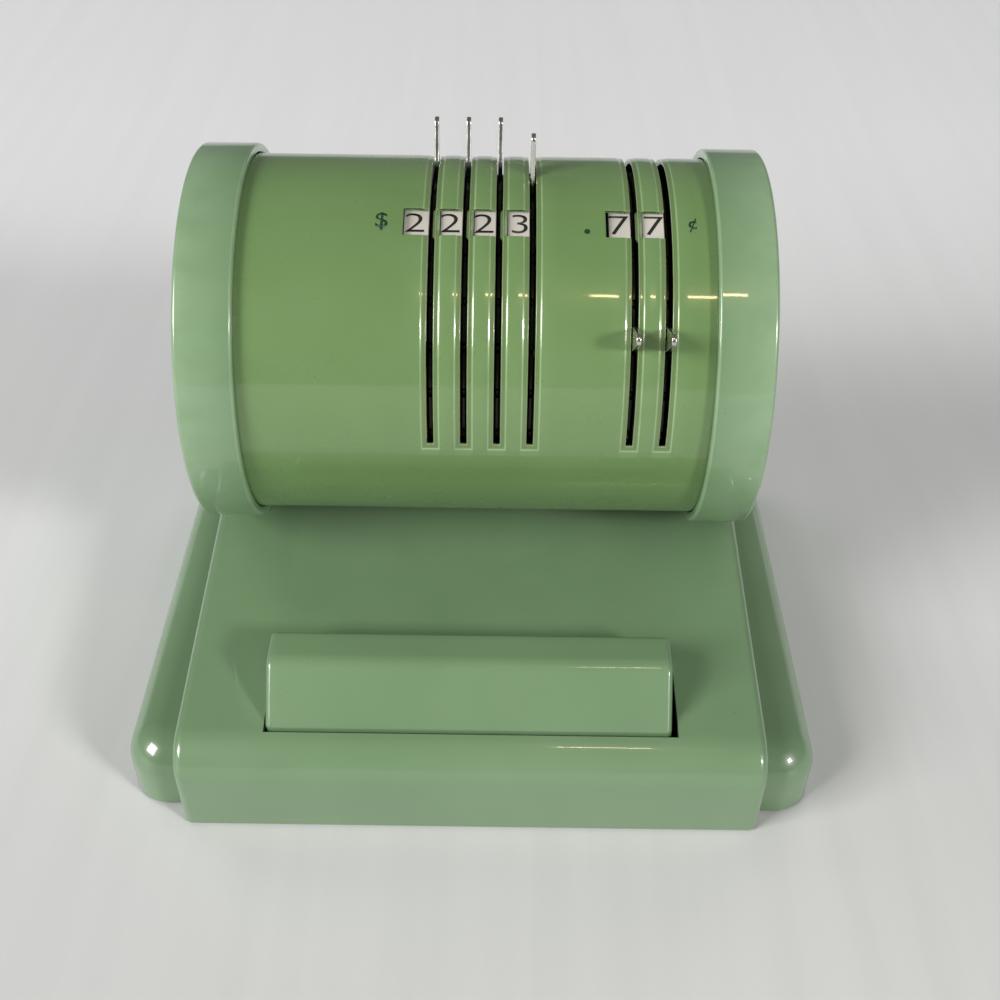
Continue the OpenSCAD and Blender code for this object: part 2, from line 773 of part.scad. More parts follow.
// Fixed type: a hub on the shaft, a web and a foot with lines across it
module fixed_type(x0, x1)
    color("goldenrod")
    difference() {
        union() {
            cross_rod(0, 0, hub_r, x0, x1);
            side_view((x0 + x1) / 2 - 1.5, 3)
                translate([-type_foot_w / 2, -face_r + 4]) square([type_foot_w, face_r - 4]);
            side_view(x0, x1 - x0)
                intersection() {
                    circle(face_r - type_face_h);
                    translate([-type_foot_w / 2, -face_r - 1]) square([type_foot_w, 7]);
                }
            side_view(x0 + 1, x1 - x0 - 2)
                intersection() {
                    circle(face_r);
                    for (f = [-3, 0, 3])
                        translate([f - 0.7, -face_r - 1]) square([1.4, 5]);
                }
        }
        cross_rod(0, 0, shaft_r + run_fit, x0 - 1, x1 + 1);
    }

module prefix_type_block() fixed_type(prefix_x0, prefix_x1);
module middle_type_block()
    fixed_type(slot_x(4) + blade_t / 2 + pass_gap, slot_x(5) + wheel_left - pass_gap);

// --------------------------------------------------------------- detents

module detent_bar()
    color("silver")
    side_view(-frame_in_x + seat_gap, 2 * (frame_in_x - seat_gap))
        translate(bar_centre) square(bar_size, center = true);

// Comb of leaf springs, one nose over the notches of each index plate
module detent_springs() {
    nose = (plate_r + 0.9 + pass_gap) * [cos(detent_angle), sin(detent_angle)];
    root = bar_centre + [bar_size[0] / 2 + seat_gap, 0];
    bend = root + [0, bar_size[1] / 2];
    color("darkgoldenrod") {
        side_view(-frame_in_x + 3, 2 * (frame_in_x - 3))
            translate(root - [0, bar_size[1] / 2]) square([leaf_t, bar_size[1]]);
        for (k = [1:WHEELS])
            side_view(slot_x(k) - 0.5, 1) {
                polygon([bend, bend + [leaf_t, -0.5], nose + [0.3, -0.6], nose + [-0.5, 0.3]]);
                translate(nose) circle(0.9);
            }
    }
}

// ----------------------------------------------------------- press lever

// Side view of the press bar: flat top, slanted front, upright skirts
module bar_outline() {
    front_c = [bar_top_front - bar_front_r * tan(bar_slope / 2), bar_top - bar_front_r];
    back_c = [bar_back + bar_r, bar_top - bar_r];
    polygon([[bar_back, bar_skirt], [bar_front, bar_skirt], [bar_front, deck_u(bar_front)],
             front_c + bar_front_r * [sin(bar_slope), cos(bar_slope)], front_c, back_c,
             [bar_back, back_c[1]]]);
    translate([back_c[0], front_c[1]])
        square([front_c[0] - back_c[0], bar_front_r]);
    translate(front_c) circle(bar_front_r);
    translate(back_c) circle(bar_r);
}

module press_bar()
    color("darkseagreen")
    difference() {
        union() {
            difference() {
                intersection() {
                    side_view(bar_shift - bar_half_w, 2 * bar_half_w) bar_outline();
                    // ends rounded in the front view
                    translate([bar_shift, axis_y, axis_h + bar_top])
                        rotate([90, 0, 0])
                            linear_extrude(front_reach)
                                shouldered(bar_half_w, bar_r, bar_top - bar_skirt + 1);
                }
                side_view(bar_shift - bar_half_w + bar_wall, 2 * (bar_half_w - bar_wall))
                    bar_hollow();
            }
            // bosses that the arms are screwed to
            both_sides()
                side_view(arm_half_span - 6, 6 - seat_gap)
                    translate(bar_screw - [4, 4]) square([8, 10]);
        }
        both_sides() cross_rod(bar_screw[0], bar_screw[1], 1.3, arm_half_span - 7, arm_half_span + 1);
    }

module bar_hollow()
    polygon([[bar_front - bar_wall, bar_skirt - 1],
             [bar_front - bar_wall, deck_u(bar_front) - bar_wall * tan(45 - bar_slope / 2)],
             [bar_top_front - bar_wall * tan(bar_slope / 2), bar_top - bar_wall],
             [bar_back + bar_wall, bar_top - bar_wall], [bar_back + bar_wall, bar_skirt - 1]]);

module arm_outline() {
    f0 = bar_back + bar_wall + 0.8;
    difference() {
        union() {
            polygon([[f0, bar_top - 4], [f0 + 7, bar_top - 4], [f0 + 13, bar_skirt - 1],
                     [f0 + 5, bar_skirt - 5], [pivot_f + 6, pivot_u - 6],
                     [pivot_f - 6, pivot_u - 6], [lug_f, lug_u - 5], [-6, lug_u - 2],
                     [-6, pad_top - pad_t - platen_t], [6, pad_top - pad_t - platen_t],
                     [10, lug_u + 4], [pivot_f - 4, pivot_u + 7],
                     [pivot_f + 6, pivot_u + 7], [f0 - 5, bar_skirt - 4], [f0, bar_skirt - 1]]);
            translate([pivot_f, pivot_u]) circle(8);
        }
        translate([pivot_f, pivot_u]) circle(pivot_r + run_fit);
    }
}

module press_arms()
    color("lightsteelblue") {
        difference() {
            both_sides() side_view(arm_half_span, plate_t) arm_outline();
            both_sides()
                cross_rod(bar_screw[0], bar_screw[1], 1.3, arm_half_span - 1, arm_out_x + 1);
        }
        // yoke between the arms
        side_view(-arm_half_span, 2 * arm_half_span)
            translate([pivot_f + 16, pivot_u - 3]) square([plate_t, 9]);
        // lugs that the return springs pull on
        both_sides() cross_rod(lug_f, lug_u, lug_r, arm_half_span - 7, arm_half_span);
    }

module press_bar_screws()
    color("silver")
    both_sides() {
        cross_rod(bar_screw[0], bar_screw[1], 1.25, arm_half_span - 5, arm_out_x + 0.2);
        cross_rod(bar_screw[0], bar_screw[1], 2.4, arm_out_x + seat_gap, arm_out_x + 1.6);
    }

module platen_bar()
    color("silver")
    side_view(-platen_half_w, 2 * platen_half_w)
        translate([-pad_depth / 2, pad_top - pad_t - platen_t]) square([pad_depth, platen_t]);

module platen_pad()
    color("black")
    side_view(-platen_half_w, 2 * platen_half_w)
        polygon([[-pad_depth / 2, pad_top - pad_t], [pad_depth / 2, pad_top - pad_t],
                 [pad_depth / 2, pad_top - 0.4], [pad_depth / 2 - 1.2, pad_top],
                 [-pad_depth / 2 + 1.2, pad_top], [-pad_depth / 2, pad_top - 0.4]]);

// Extension springs between the arms' lugs and the ears of the bottom plate: a
// hook round the lug, the coil, and a hook through the ear, all one wire
module return_springs() {
    turns = 7;
    per_turn = 8;
    z_low = ear_hole_z + hook_r;
    z_high = axis_h + lug_u;
    coil_top = z_high - hook_r;
    coil_h = coil_top - z_low - hook_r;
    steps = turns * per_turn;
    upper = [for (a = [170:-34:34]) [0, hook_r * cos(a), z_high + hook_r * sin(a)]];
    coil = [for (i = [0:steps])
        let (a = 90 + i * 360 / per_turn)
        [hook_r * cos(a), hook_r * sin(a), coil_top - coil_h * i / steps]];
    lower = [for (a = [-34:-34:-170]) [0, hook_r * cos(a), z_low + hook_r * sin(a)]];
    color("silver")
    both_sides()
        translate([spring_x, axis_y - lug_f, 0])
            tube(concat(upper, coil, lower), wire_r, 5);
}

// ---------------------------------------------------------------- ribbon

module ribbon() {
    low = -face_r - 1 - ribbon_t;
    start = spool_u - roll_of_ribbon_r - pass_gap;
    flat = frame_in_x - 3;
    color("darkslategray")
    translate([0, axis_y + ribbon_w / 2, axis_h])
        rotate([90, 0, 0])
            linear_extrude(ribbon_w)
                polygon([[-spool_x, start], [-flat, low + ribbon_t], [flat, low + ribbon_t],
                         [spool_x, start], [spool_x, start - ribbon_t], [flat, low],
                         [-flat, low], [-spool_x, start - ribbon_t]]);
}

module spool_pins()
    color("silver")
    both_sides()
        translate([spool_x, axis_y - tab_in_y - tab_t - 1, axis_h + spool_u])
            rotate([-90, 0, 0])
                cylinder(r = pin_r, h = 2 * (tab_in_y + tab_t + 1));

module spool()
    translate([spool_x, axis_y, axis_h + spool_u])
        rotate([90, 0, 0])
            difference() {
                union() {
                    cylinder(r = 3, h = ribbon_w, center = true);
                    for (s = [-1, 1])
                        translate([0, 0, s * (ribbon_w / 2 + pass_gap + flange_t / 2)])
                            cylinder(r = spool_r, h = flange_t, center = true);
                    cylinder(r = 2.8, h = ribbon_w + 2 * pass_gap, center = true);
                }
                cylinder(r = pin_r + run_fit, h = 2 * ribbon_w, center = true);
            }

module ribbon_roll()
    translate([spool_x, axis_y, axis_h + spool_u])
        rotate([90, 0, 0])
            difference() {
                cylinder(r = roll_of_ribbon_r, h = ribbon_w, center = true);
                cylinder(r = 3 + seat_gap, h = 2 * ribbon_w, center = true);
            }

module right_spool() color("dimgray") spool();
module left_spool() color("dimgray") mirror([1, 0, 0]) spool();
module right_ribbon_roll() color("darkslategray") ribbon_roll();
module left_ribbon_roll() color("darkslategray") mirror([1, 0, 0]) ribbon_roll();

// ------------------------------------------------------------- the model

base_housing();
bottom_plate();
rubber_feet();
chassis_screws();
left_frame();
right_frame();
main_shaft();
shaft_spacers();
pivot_shaft();
tie_rods();
drum_cover();
left_end_cap();
right_end_cap();
cap_screws();
detent_bar();
detent_springs();
prefix_type_block();
middle_type_block();
ribbon();
spool_pins();
return_springs();
for (k = [1:WHEELS]) {
    number_wheel(k);
    index_lever(k);
    number_dial(k);
    type_ring(k);
}
press_bar();
press_arms();
press_bar_screws();
platen_bar();
platen_pad();
left_spool();
right_spool();
left_ribbon_roll();
right_ribbon_roll();
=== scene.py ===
# %% [markdown]
# # A desk check writer, dressed in Blender
#
# The machine is already built as an exact CAD model: every shaft, wheel and
# screw is a solid in its place. This lesson puts the looks on it. Each step
# says what the piece is on the real machine, how it could be made, and why
# this way was chosen. All lengths in the CAD model are in millimetres, and
# Blender works in metres, so MM turns one into the other.

# %% Load the frame
import math

import bmesh
import bpy
import numpy as np
from mathutils import Matrix, Vector


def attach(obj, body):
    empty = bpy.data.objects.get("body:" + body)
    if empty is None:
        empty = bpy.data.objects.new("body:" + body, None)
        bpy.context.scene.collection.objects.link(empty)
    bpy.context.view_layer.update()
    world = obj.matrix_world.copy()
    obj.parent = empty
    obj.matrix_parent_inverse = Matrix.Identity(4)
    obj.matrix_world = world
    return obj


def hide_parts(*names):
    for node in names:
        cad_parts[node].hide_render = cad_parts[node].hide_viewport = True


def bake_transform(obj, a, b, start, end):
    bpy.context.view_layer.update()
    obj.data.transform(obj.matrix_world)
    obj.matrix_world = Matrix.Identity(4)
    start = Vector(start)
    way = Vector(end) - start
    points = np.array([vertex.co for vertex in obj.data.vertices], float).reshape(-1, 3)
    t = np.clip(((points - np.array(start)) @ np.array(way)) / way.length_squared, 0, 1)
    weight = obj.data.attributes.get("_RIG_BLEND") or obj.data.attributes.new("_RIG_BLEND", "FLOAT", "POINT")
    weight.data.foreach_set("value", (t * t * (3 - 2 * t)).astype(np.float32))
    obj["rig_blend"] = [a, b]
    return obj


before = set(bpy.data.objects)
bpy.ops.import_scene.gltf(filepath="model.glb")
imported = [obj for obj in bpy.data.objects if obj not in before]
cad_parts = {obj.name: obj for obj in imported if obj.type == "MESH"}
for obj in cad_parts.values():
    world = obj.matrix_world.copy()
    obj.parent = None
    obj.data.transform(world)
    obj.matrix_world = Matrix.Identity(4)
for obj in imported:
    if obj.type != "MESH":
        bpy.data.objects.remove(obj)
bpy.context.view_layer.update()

MM = 0.001


def new_object(name, data):
    """An object at the origin that holds the data, linked into the scene."""
    made = bpy.data.objects.new(name, data)
    bpy.context.scene.collection.objects.link(made)
    return made


# %% [markdown]
# ## The camera
#
# The photograph looks down on the machine from the front. Its camera was
# found by fitting the drum's ends, the slots and the edges of the base, so
# the three directions below are measured and not guessed by eye. A camera in
# Blender looks along its own -Z, with +X to the right and +Y up.

# %% Camera
AXIS_Y, AXIS_H = 20.3, 106.5
right = Vector((0.999903, 0.007744, 0.011599))
down = Vector((0.013905, -0.617497, -0.786450))
ahead = Vector((0.001072, 0.786535, -0.617545))
camera = new_object("camera", bpy.data.cameras.new("camera"))
turn = Matrix((right, -down, -ahead)).transposed().to_4x4()
spot = Vector((7.0826, AXIS_Y - 381.098, AXIS_H + 232.760)) * MM
camera.matrix_world = Matrix.Translation(spot) @ turn
camera.data.sensor_width = 36
camera.data.lens = 50.42
camera.data.clip_start = 0.01
bpy.context.scene.camera = camera
print("camera at", [round(c, 3) for c in spot])

# %% [markdown]
# ## Floor and light
#
# The machine stands on a pale table, which is one plane 40 metres square here.
# Seen from the front it fills the picture, so that it is the background too.
# Two windows shape the light. The shadows beside the press bar and left of the
# two lowered levers tell where they are: 30 and 27 degrees above the table,
# one 56 degrees to the left of the front and one 48 to the right. Two soft
# lamps behind and a weak one in front fill the shadows. The warm lines along
# the drum, the bar and the deck's edge are the mirror image of one small tube
# above the machine. Every material below is put together from the few shader
# helpers that come first.

# %% Shader helpers
def node_tree(name):
    """A new material with only a Principled shader; gives (material, nodes, links, shader)."""
    material = bpy.data.materials.new(name)
    material.use_nodes = True
    nodes, links = material.node_tree.nodes, material.node_tree.links
    nodes.clear()
    out = nodes.new("ShaderNodeOutputMaterial")
    shader = nodes.new("ShaderNodeBsdfPrincipled")
    links.new(shader.outputs["BSDF"], out.inputs["Surface"])
    return material, nodes, links, shader


def noise(nodes, links, vector, scale, detail=2):
    """Cloudy noise of a scale; gives the socket with its value."""
    node = nodes.new("ShaderNodeTexNoise")
    node.inputs["Scale"].default_value = scale
    node.inputs["Detail"].default_value = detail
    links.new(vector, node.inputs["Vector"])
    return node.outputs["Fac"]


def two_tones(nodes, links, value, dark, light, low, high, curve="LINEAR"):
    """Colour that goes from dark, where the value is low, to light, where it is high."""
    ramp = nodes.new("ShaderNodeValToRGB")
    ramp.color_ramp.interpolation = curve
    for index, at, colour in ((0, low, dark), (1, high, light)):
        ramp.color_ramp.elements[index].position = at
        ramp.color_ramp.elements[index].color = (*colour, 1)
    links.new(value, ramp.inputs["Fac"])
    return ramp.outputs["Color"]


def spread(nodes, links, value, start, stop, low=0.0, high=1.0):
    """Low where the value is at start, high where it is at stop, even between them."""
    node = nodes.new("ShaderNodeMapRange")
    for title, number in (("From Min", start), ("From Max", stop), ("To Min", low),
                          ("To Max", high)):
        node.inputs[title].default_value = number
    links.new(value, node.inputs["Value"])
    return node.outputs["Result"]


def covered(nodes, links, share, under, over):
    """Colour under, covered by over (a socket or three numbers) as far as share says."""
    mix = nodes.new("ShaderNodeMix")
    mix.data_type = "RGBA"
    if isinstance(over, tuple):
        mix.inputs["B"].default_value = (*over, 1)
    else:
        links.new(over, mix.inputs["B"])
    links.new(share, mix.inputs["Factor"])
    links.new(under, mix.inputs["A"])
    return mix.outputs["Result"]


def relief(nodes, links, height, shader, distance, strength):
    """Bump in the shader's normal: distance is in mm, from the lowest height to the highest."""
    bump = nodes.new("ShaderNodeBump")
    bump.inputs["Strength"].default_value = strength
    bump.inputs["Distance"].default_value = distance * MM
    links.new(height, bump.inputs["Height"])
    links.new(bump.outputs["Normal"], shader.inputs["Normal"])


# %% Floor
NEAR_PAINT = (0.575, 0.588, 0.590), (0.600, 0.612, 0.615)
# Far tones: the table's paint made paler, as painted light for the room's light further back.
FAR_TONES_PAINTED_LIGHT = (0.690, 0.708, 0.718), (0.710, 0.728, 0.738)


def floor_material():
    """Pale table: near-white paint over boards, whose grain runs away from the camera. Further
    back the colour is painted paler: painted light, for the room's light that falls there."""
    material, nodes, links, shader = node_tree("pale_table")
    vector = nodes.new("ShaderNodeTexCoord").outputs["Object"]
    boards = nodes.new("ShaderNodeMapping")
    boards.inputs["Scale"].default_value = (17.0, 0.7, 1.0)
    boards.inputs["Rotation"].default_value = (0, 0, math.radians(-5))
    links.new(vector, boards.inputs["Vector"])
    grain = noise(nodes, links, boards.outputs["Vector"], 5, 6)
    front, rear = [two_tones(nodes, links, grain, dark, light, 0.30, 0.64)
                   for dark, light in (NEAR_PAINT, FAR_TONES_PAINTED_LIGHT)]
    axes = nodes.new("ShaderNodeSeparateXYZ")
    links.new(vector, axes.inputs["Vector"])
    # Painted light: towards the back the colour turns to the paler far tones.
    back = spread(nodes, links, axes.outputs["Y"], -0.15, 0.42)
    links.new(covered(nodes, links, back, front, rear), shader.inputs["Base Color"])
    relief(nodes, links, grain, shader, 0.4, 0.15)
    shader.inputs["Roughness"].default_value = 0.55
    return material


REACH = 20
corners = [(-REACH, -REACH, 0), (REACH, -REACH, 0), (REACH, REACH, 0), (-REACH, REACH, 0)]
table = bpy.data.meshes.new("table")
table.from_pydata(corners, [], [(0, 1, 2, 3)])
table_piece = new_object("table", table)
table.materials.append(floor_material())
print("table:", 2 * REACH, "m square at z = 0")

# %% World and lamps
def aim(lamp, stand, target):
    """Puts a lamp at stand, turned so that its -Z looks at target."""
    lamp.location = stand
    look = Vector(target) - Vector(stand)
    lamp.rotation_euler = look.to_track_quat("-Z", "Y").to_euler()


def area_lamp(name, stand, target, size, power, colour, mirrored=False):
    """A rectangular lamp: size (wide, high) in metres, power in watts. Only a mirrored lamp
    shows in gloss, because the photograph has no large pale lamp in its enamel."""
    data = bpy.data.lights.new(name, "AREA")
    data.shape = "RECTANGLE"
    data.size, data.size_y = size
    data.energy = power
    data.color = colour
    lamp = new_object(name, data)
    lamp.visible_glossy = mirrored
    aim(lamp, stand, target)


world = bpy.data.worlds.new("room")
bpy.context.scene.world = world
world.use_nodes = True
sky = world.node_tree.nodes["Background"]
sky.inputs["Color"].default_value = (0.95, 0.98, 1.0, 1)
sky.inputs["Strength"].default_value = 0.13


def from_front(azimuth, elevation, distance):
    """Point at a distance: azimuth to the right of the front, and elevation, in degrees."""
    a, e = math.radians(azimuth), math.radians(elevation)
    return (distance * math.cos(e) * math.sin(a), -distance * math.cos(e) * math.cos(a),
            distance * math.sin(e))


WARM = (1.0, 0.977, 0.952)
area_lamp("left_window", from_front(-56, 30, 4.5), (0, 0.1, 0.05), (1.9, 1.9), 200.0, WARM,
          mirrored=True)
area_lamp("right_window", from_front(48, 27, 4.5), (0, 0.1, 0.05), (0.7, 0.7), 120.0, WARM,
          mirrored=True)
area_lamp("front_fill", from_front(0, 12, 4.5), (0, 0, 0.08), (2.0, 1.4), 20.0, WARM)
area_lamp("back_left", from_front(-130, 38, 4.0), (0, 0.2, 0.05), (2.2, 1.8), 34.0, WARM)
area_lamp("back_right", from_front(155, 32, 4.0), (0, 0.2, 0.05), (2.2, 1.8), 26.0, WARM)
area_lamp("tube", (0.093, -0.222, 0.449), (0.093, -0.05, 0.10), (0.076, 0.010), 0.08,
          (1.0, 0.74, 0.42), mirrored=True)
scene = bpy.context.scene
scene.view_settings.view_transform = "Standard"

# %% [markdown]
# ## Materials
#
# The shells are pressed steel under baked enamel: a smooth, slightly uneven
# film with a soft gloss. A single colour would look like plastic, so each
# enamel here has slow changes of tone, the fine ripple that sprayed enamel
# dries with, and a few specks of dust. All patterns read Object coordinates,
# which every piece shares, so that they stay on the piece when it moves.

# %% Enamel
def tone(nodes, links, vector, scale, dark, light):
    """Noise of a scale spread between two colours; gives the colour socket."""
    cloud = noise(nodes, links, vector, scale, 3)
    return two_tones(nodes, links, cloud, dark, light, 0.15, 0.85, "EASE")


def speck_mask(nodes, links, vector, scale, size):
    """Small round specks: 1 within size of a Voronoi point, 0 outside; size is in cells."""
    cells = nodes.new("ShaderNodeTexVoronoi")
    cells.inputs["Scale"].default_value = scale
    less = nodes.new("ShaderNodeMath")
    less.operation = "LESS_THAN"
    less.inputs[1].default_value = size
    links.new(vector, cells.inputs["Vector"])
    links.new(cells.outputs["Distance"], less.inputs[0])
    return less.outputs["Value"]


def add_bump(nodes, links, vector, shader, scale, distance, strength):
    """Fine unevenness: noise of a scale, so many millimetres deep, in the shader's normal."""
    relief(nodes, links, noise(nodes, links, vector, scale), shader, distance, strength)


def roughness_field(nodes, links, vector, shader, scale, low, high):
    """Roughness that wanders between low and high with noise of a scale."""
    cloud = noise(nodes, links, vector, scale, 4)
    links.new(spread(nodes, links, cloud, 0.3, 0.7, low, high), shader.inputs["Roughness"])


def enamel(name, dark, light, gloss):
    """Baked enamel: slow change of tone, fine specks, dried ripple, a clear top film, paler on
    the edges and rims that one mesh value marks, part wear and part painted highlight, and
    darker and browner inside the drum's tracks, which a second mesh value marks."""
    material, nodes, links, shader = node_tree(name)
    vector = nodes.new("ShaderNodeTexCoord").outputs["Object"]
    body = tone(nodes, links, vector, 26, dark, light)
    dust = speck_mask(nodes, links, vector, 150, 0.030)
    dusty = covered(nodes, links, dust, body, tuple(c * 0.6 for c in dark))
    marks = {}
    for title in ("wear_and_highlight", "track_tint"):
        marks[title] = nodes.new("ShaderNodeAttribute")
        marks[title].attribute_name = title
    patches = spread(nodes, links, noise(nodes, links, vector, 130), 0.25, 0.60, 0.55)
    # Pale share on the marked edges and rims: part wear, part painted highlight.
    wear_and_glint = nodes.new("ShaderNodeMath")
    wear_and_glint.operation = "MULTIPLY"
    links.new(patches, wear_and_glint.inputs[0])
    links.new(marks["wear_and_highlight"].outputs["Fac"], wear_and_glint.inputs[1])
    pale = tuple(min(1, c * 1.5 + 0.10) for c in light)
    edges = covered(nodes, links, wear_and_glint.outputs["Value"], dusty, pale)
    # Darker, browner tint inside the drum's tracks.
    brown = (dark[0] * 0.85, dark[1] * 0.60, dark[2] * 0.65)
    track_tinted = covered(nodes, links, marks["track_tint"].outputs["Fac"], edges, brown)
    links.new(track_tinted, shader.inputs["Base Color"])
    roughness_field(nodes, links, vector, shader, 40, gloss, gloss + 0.08)
    add_bump(nodes, links, vector, shader, 420, 0.02, 0.08)
    shader.inputs["Coat Weight"].default_value = 0.8
    shader.inputs["Coat Roughness"].default_value = 0.05
    return material


pale_enamel = enamel("pale_green_enamel", (0.130, 0.222, 0.114), (0.150, 0.248, 0.132), 0.28)
drum_enamel = enamel("drum_green_enamel", (0.112, 0.200, 0.068), (0.128, 0.222, 0.082), 0.24)
print("enamels:", pale_enamel.name, drum_enamel.name)

# %% [markdown]
# ## Metals, rubber, paint and ribbon
#
# Inside the machine are zinc plated frames, ground steel shafts, brass type,
# bronze springs and dark castings. Each has a colour and a roughness of its
# own, and a grain: drawn steel is brushed along its length, plating is
# cloudy, a casting is coarse.

# %% Metals
def metal(name, dark, light, rough, grain, grain_scale):
    """A metal with cloudy tone and a grain; grain is the bump's depth in mm."""
    material, nodes, links, shader = node_tree(name)
    vector = nodes.new("ShaderNodeTexCoord").outputs["Object"]
    colour = tone(nodes, links, vector, 60, dark, light)
    links.new(colour, shader.inputs["Base Color"])
    shader.inputs["Metallic"].default_value = 1.0
    roughness_field(nodes, links, vector, shader, 180, rough, rough + 0.12)
    stretch = nodes.new("ShaderNodeMapping")
    stretch.inputs["Scale"].default_value = (0.12, 1.0, 1.0)
    links.new(vector, stretch.inputs["Vector"])
    add_bump(nodes, links, stretch.outputs["Vector"], shader, grain_scale, grain, 0.25)
    return material


nickel = metal("nickel_plate", (0.60, 0.585, 0.55), (0.78, 0.765, 0.73), 0.13, 0.004, 1500)
bright_steel = metal("ground_steel", (0.44, 0.44, 0.44), (0.60, 0.60, 0.60), 0.22, 0.006, 2200)
zinc_steel = metal("zinc_plate", (0.42, 0.44, 0.46), (0.58, 0.60, 0.62), 0.34, 0.006, 900)
bronze = metal("spring_bronze", (0.40, 0.22, 0.09), (0.56, 0.34, 0.16), 0.28, 0.005, 1400)
brass = metal("type_brass", (0.52, 0.35, 0.12), (0.70, 0.50, 0.22), 0.30, 0.006, 1200)
casting = metal("dark_casting", (0.030, 0.028, 0.026), (0.065, 0.058, 0.050), 0.50, 0.03, 700)


def lever_finish():
    """Nickel with painted shade: the shader takes the distance from the drum's axis, and under
    the cover the blade is painted near black, for the shade inside the drum."""
    material, nodes, links, shader = node_tree("lever_nickel")
    vector = nodes.new("ShaderNodeTexCoord").outputs["Object"]
    bright = tone(nodes, links, vector, 200, (0.62, 0.60, 0.56), (0.80, 0.78, 0.74))
    offset = nodes.new("ShaderNodeVectorMath")
    offset.operation = "SUBTRACT"
    offset.inputs[1].default_value = (0, AXIS_Y * MM, AXIS_H * MM)
    flat = nodes.new("ShaderNodeVectorMath")
    flat.operation = "MULTIPLY"
    flat.inputs[1].default_value = (0, 1, 1)
    radius = nodes.new("ShaderNodeVectorMath")
    radius.operation = "LENGTH"
    links.new(vector, offset.inputs[0])
    links.new(offset.outputs["Vector"], flat.inputs[0])
    links.new(flat.outputs["Vector"], radius.inputs[0])
    # Painted shade: near black under the cover, for the dark inside the drum.
    hidden = spread(nodes, links, radius.outputs["Value"], 0.0545, 0.0525)
    links.new(covered(nodes, links, hidden, bright, (0.030, 0.027, 0.024)),
              shader.inputs["Base Color"])
    shader.inputs["Metallic"].default_value = 1.0
    roughness_field(nodes, links, vector, shader, 240, 0.16, 0.30)
    add_bump(nodes, links, vector, shader, 1500, 0.004, 0.3)
    return material


lever_nickel = lever_finish()
print("metals: 7")


# %% Paint, rubber and cloth
def coating(name, dark, light, rough, depth, scale):
    """A plain coating or rubber: mottled tone, rough, with a grain so many mm deep."""
    material, nodes, links, shader = node_tree(name)
    vector = nodes.new("ShaderNodeTexCoord").outputs["Object"]
    links.new(tone(nodes, links, vector, 90, dark, light), shader.inputs["Base Color"])
    roughness_field(nodes, links, vector, shader, 160, rough, rough + 0.12)
    add_bump(nodes, links, vector, shader, scale, depth, 0.4)
    return material


def ribbon_cloth():
    """Inked cloth: a fine weave of two crossed waves in the bump, nearly black."""
    material, nodes, links, shader = node_tree("inked_cloth")
    vector = nodes.new("ShaderNodeTexCoord").outputs["Object"]
    links.new(tone(nodes, links, vector, 300, (0.010, 0.010, 0.022), (0.022, 0.020, 0.040)),
              shader.inputs["Base Color"])
    heights = []
    for direction in ("X", "Y"):
        wave = nodes.new("ShaderNodeTexWave")
        wave.bands_direction = direction
        wave.inputs["Scale"].default_value = 900
        links.new(vector, wave.inputs["Vector"])
        heights.append(wave.outputs["Fac"])
    cross = nodes.new("ShaderNodeMath")
    cross.operation = "MULTIPLY"
    links.new(heights[0], cross.inputs[0])
    links.new(heights[1], cross.inputs[1])
    relief(nodes, links, cross.outputs["Value"], shader, 0.05, 0.5)
    shader.inputs["Roughness"].default_value = 0.72
    shader.inputs["Sheen Weight"].default_value = 0.2
    return material


rubber = coating("black_rubber", (0.012, 0.012, 0.012), (0.028, 0.027, 0.026), 0.62, 0.03, 1200)
japan = coating("black_japan", (0.010, 0.010, 0.010), (0.022, 0.021, 0.020), 0.30, 0.01, 500)
dial_paint = coating("dial_paint", (0.40, 0.385, 0.345), (0.53, 0.515, 0.47), 0.34, 0.012, 900)
black_ink = coating("black_ink", (0.010, 0.009, 0.008), (0.020, 0.018, 0.016), 0.42, 0.008, 1500)
green_ink = coating("dark_green_ink", (0.006, 0.030, 0.012), (0.010, 0.042, 0.018), 0.40, 0.008,
                    1500)
cloth = ribbon_cloth()
print("coatings: 6")

# %% Give every CAD node its own finish
FINISH = {
    "base_housing": pale_enamel, "press_bar": pale_enamel, "left_end_cap": pale_enamel,
    "right_end_cap": pale_enamel, "drum_cover": drum_enamel, "bottom_plate": japan,
    "rubber_feet": rubber, "platen_pad": rubber, "chassis_screws": zinc_steel,
    "left_frame": zinc_steel, "right_frame": zinc_steel, "press_arms": zinc_steel,
    "press_bar_screws": zinc_steel, "main_shaft": bright_steel, "shaft_spacers": bright_steel,
    "pivot_shaft": bright_steel, "tie_rods": bright_steel, "detent_bar": bright_steel,
    "spool_pins": bright_steel, "return_springs": bright_steel, "platen_bar": bright_steel,
    "cap_screws": nickel, "detent_springs": bronze, "prefix_type_block": brass,
    "middle_type_block": brass, "ribbon": cloth, "left_ribbon_roll": cloth,
    "right_ribbon_roll": cloth, "left_spool": japan, "right_spool": japan,
}
WHEELS = range(1, 7)
for k in WHEELS:
    FINISH[f"number_wheel_{k}"] = casting
    FINISH[f"index_lever_{k}"] = lever_nickel
    FINISH[f"number_dial_{k}"] = dial_paint
    FINISH[f"type_ring_{k}"] = brass
for name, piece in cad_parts.items():
    piece.data.materials.clear()
    piece.data.materials.append(FINISH[name])
print("finishes on", len(FINISH), "nodes")

# %% [markdown]
# ## From arrays to a mesh
#
# Every new shape below is a grid of points worked out with numpy. The points
# of an m by n grid give (m-1) by (n-1) four-sided faces, and a grid that
# closes on itself has one more row or column of faces. The drum's own
# directions are used throughout: forward, up from the drum's axis, and
# angles counted from the front upwards.

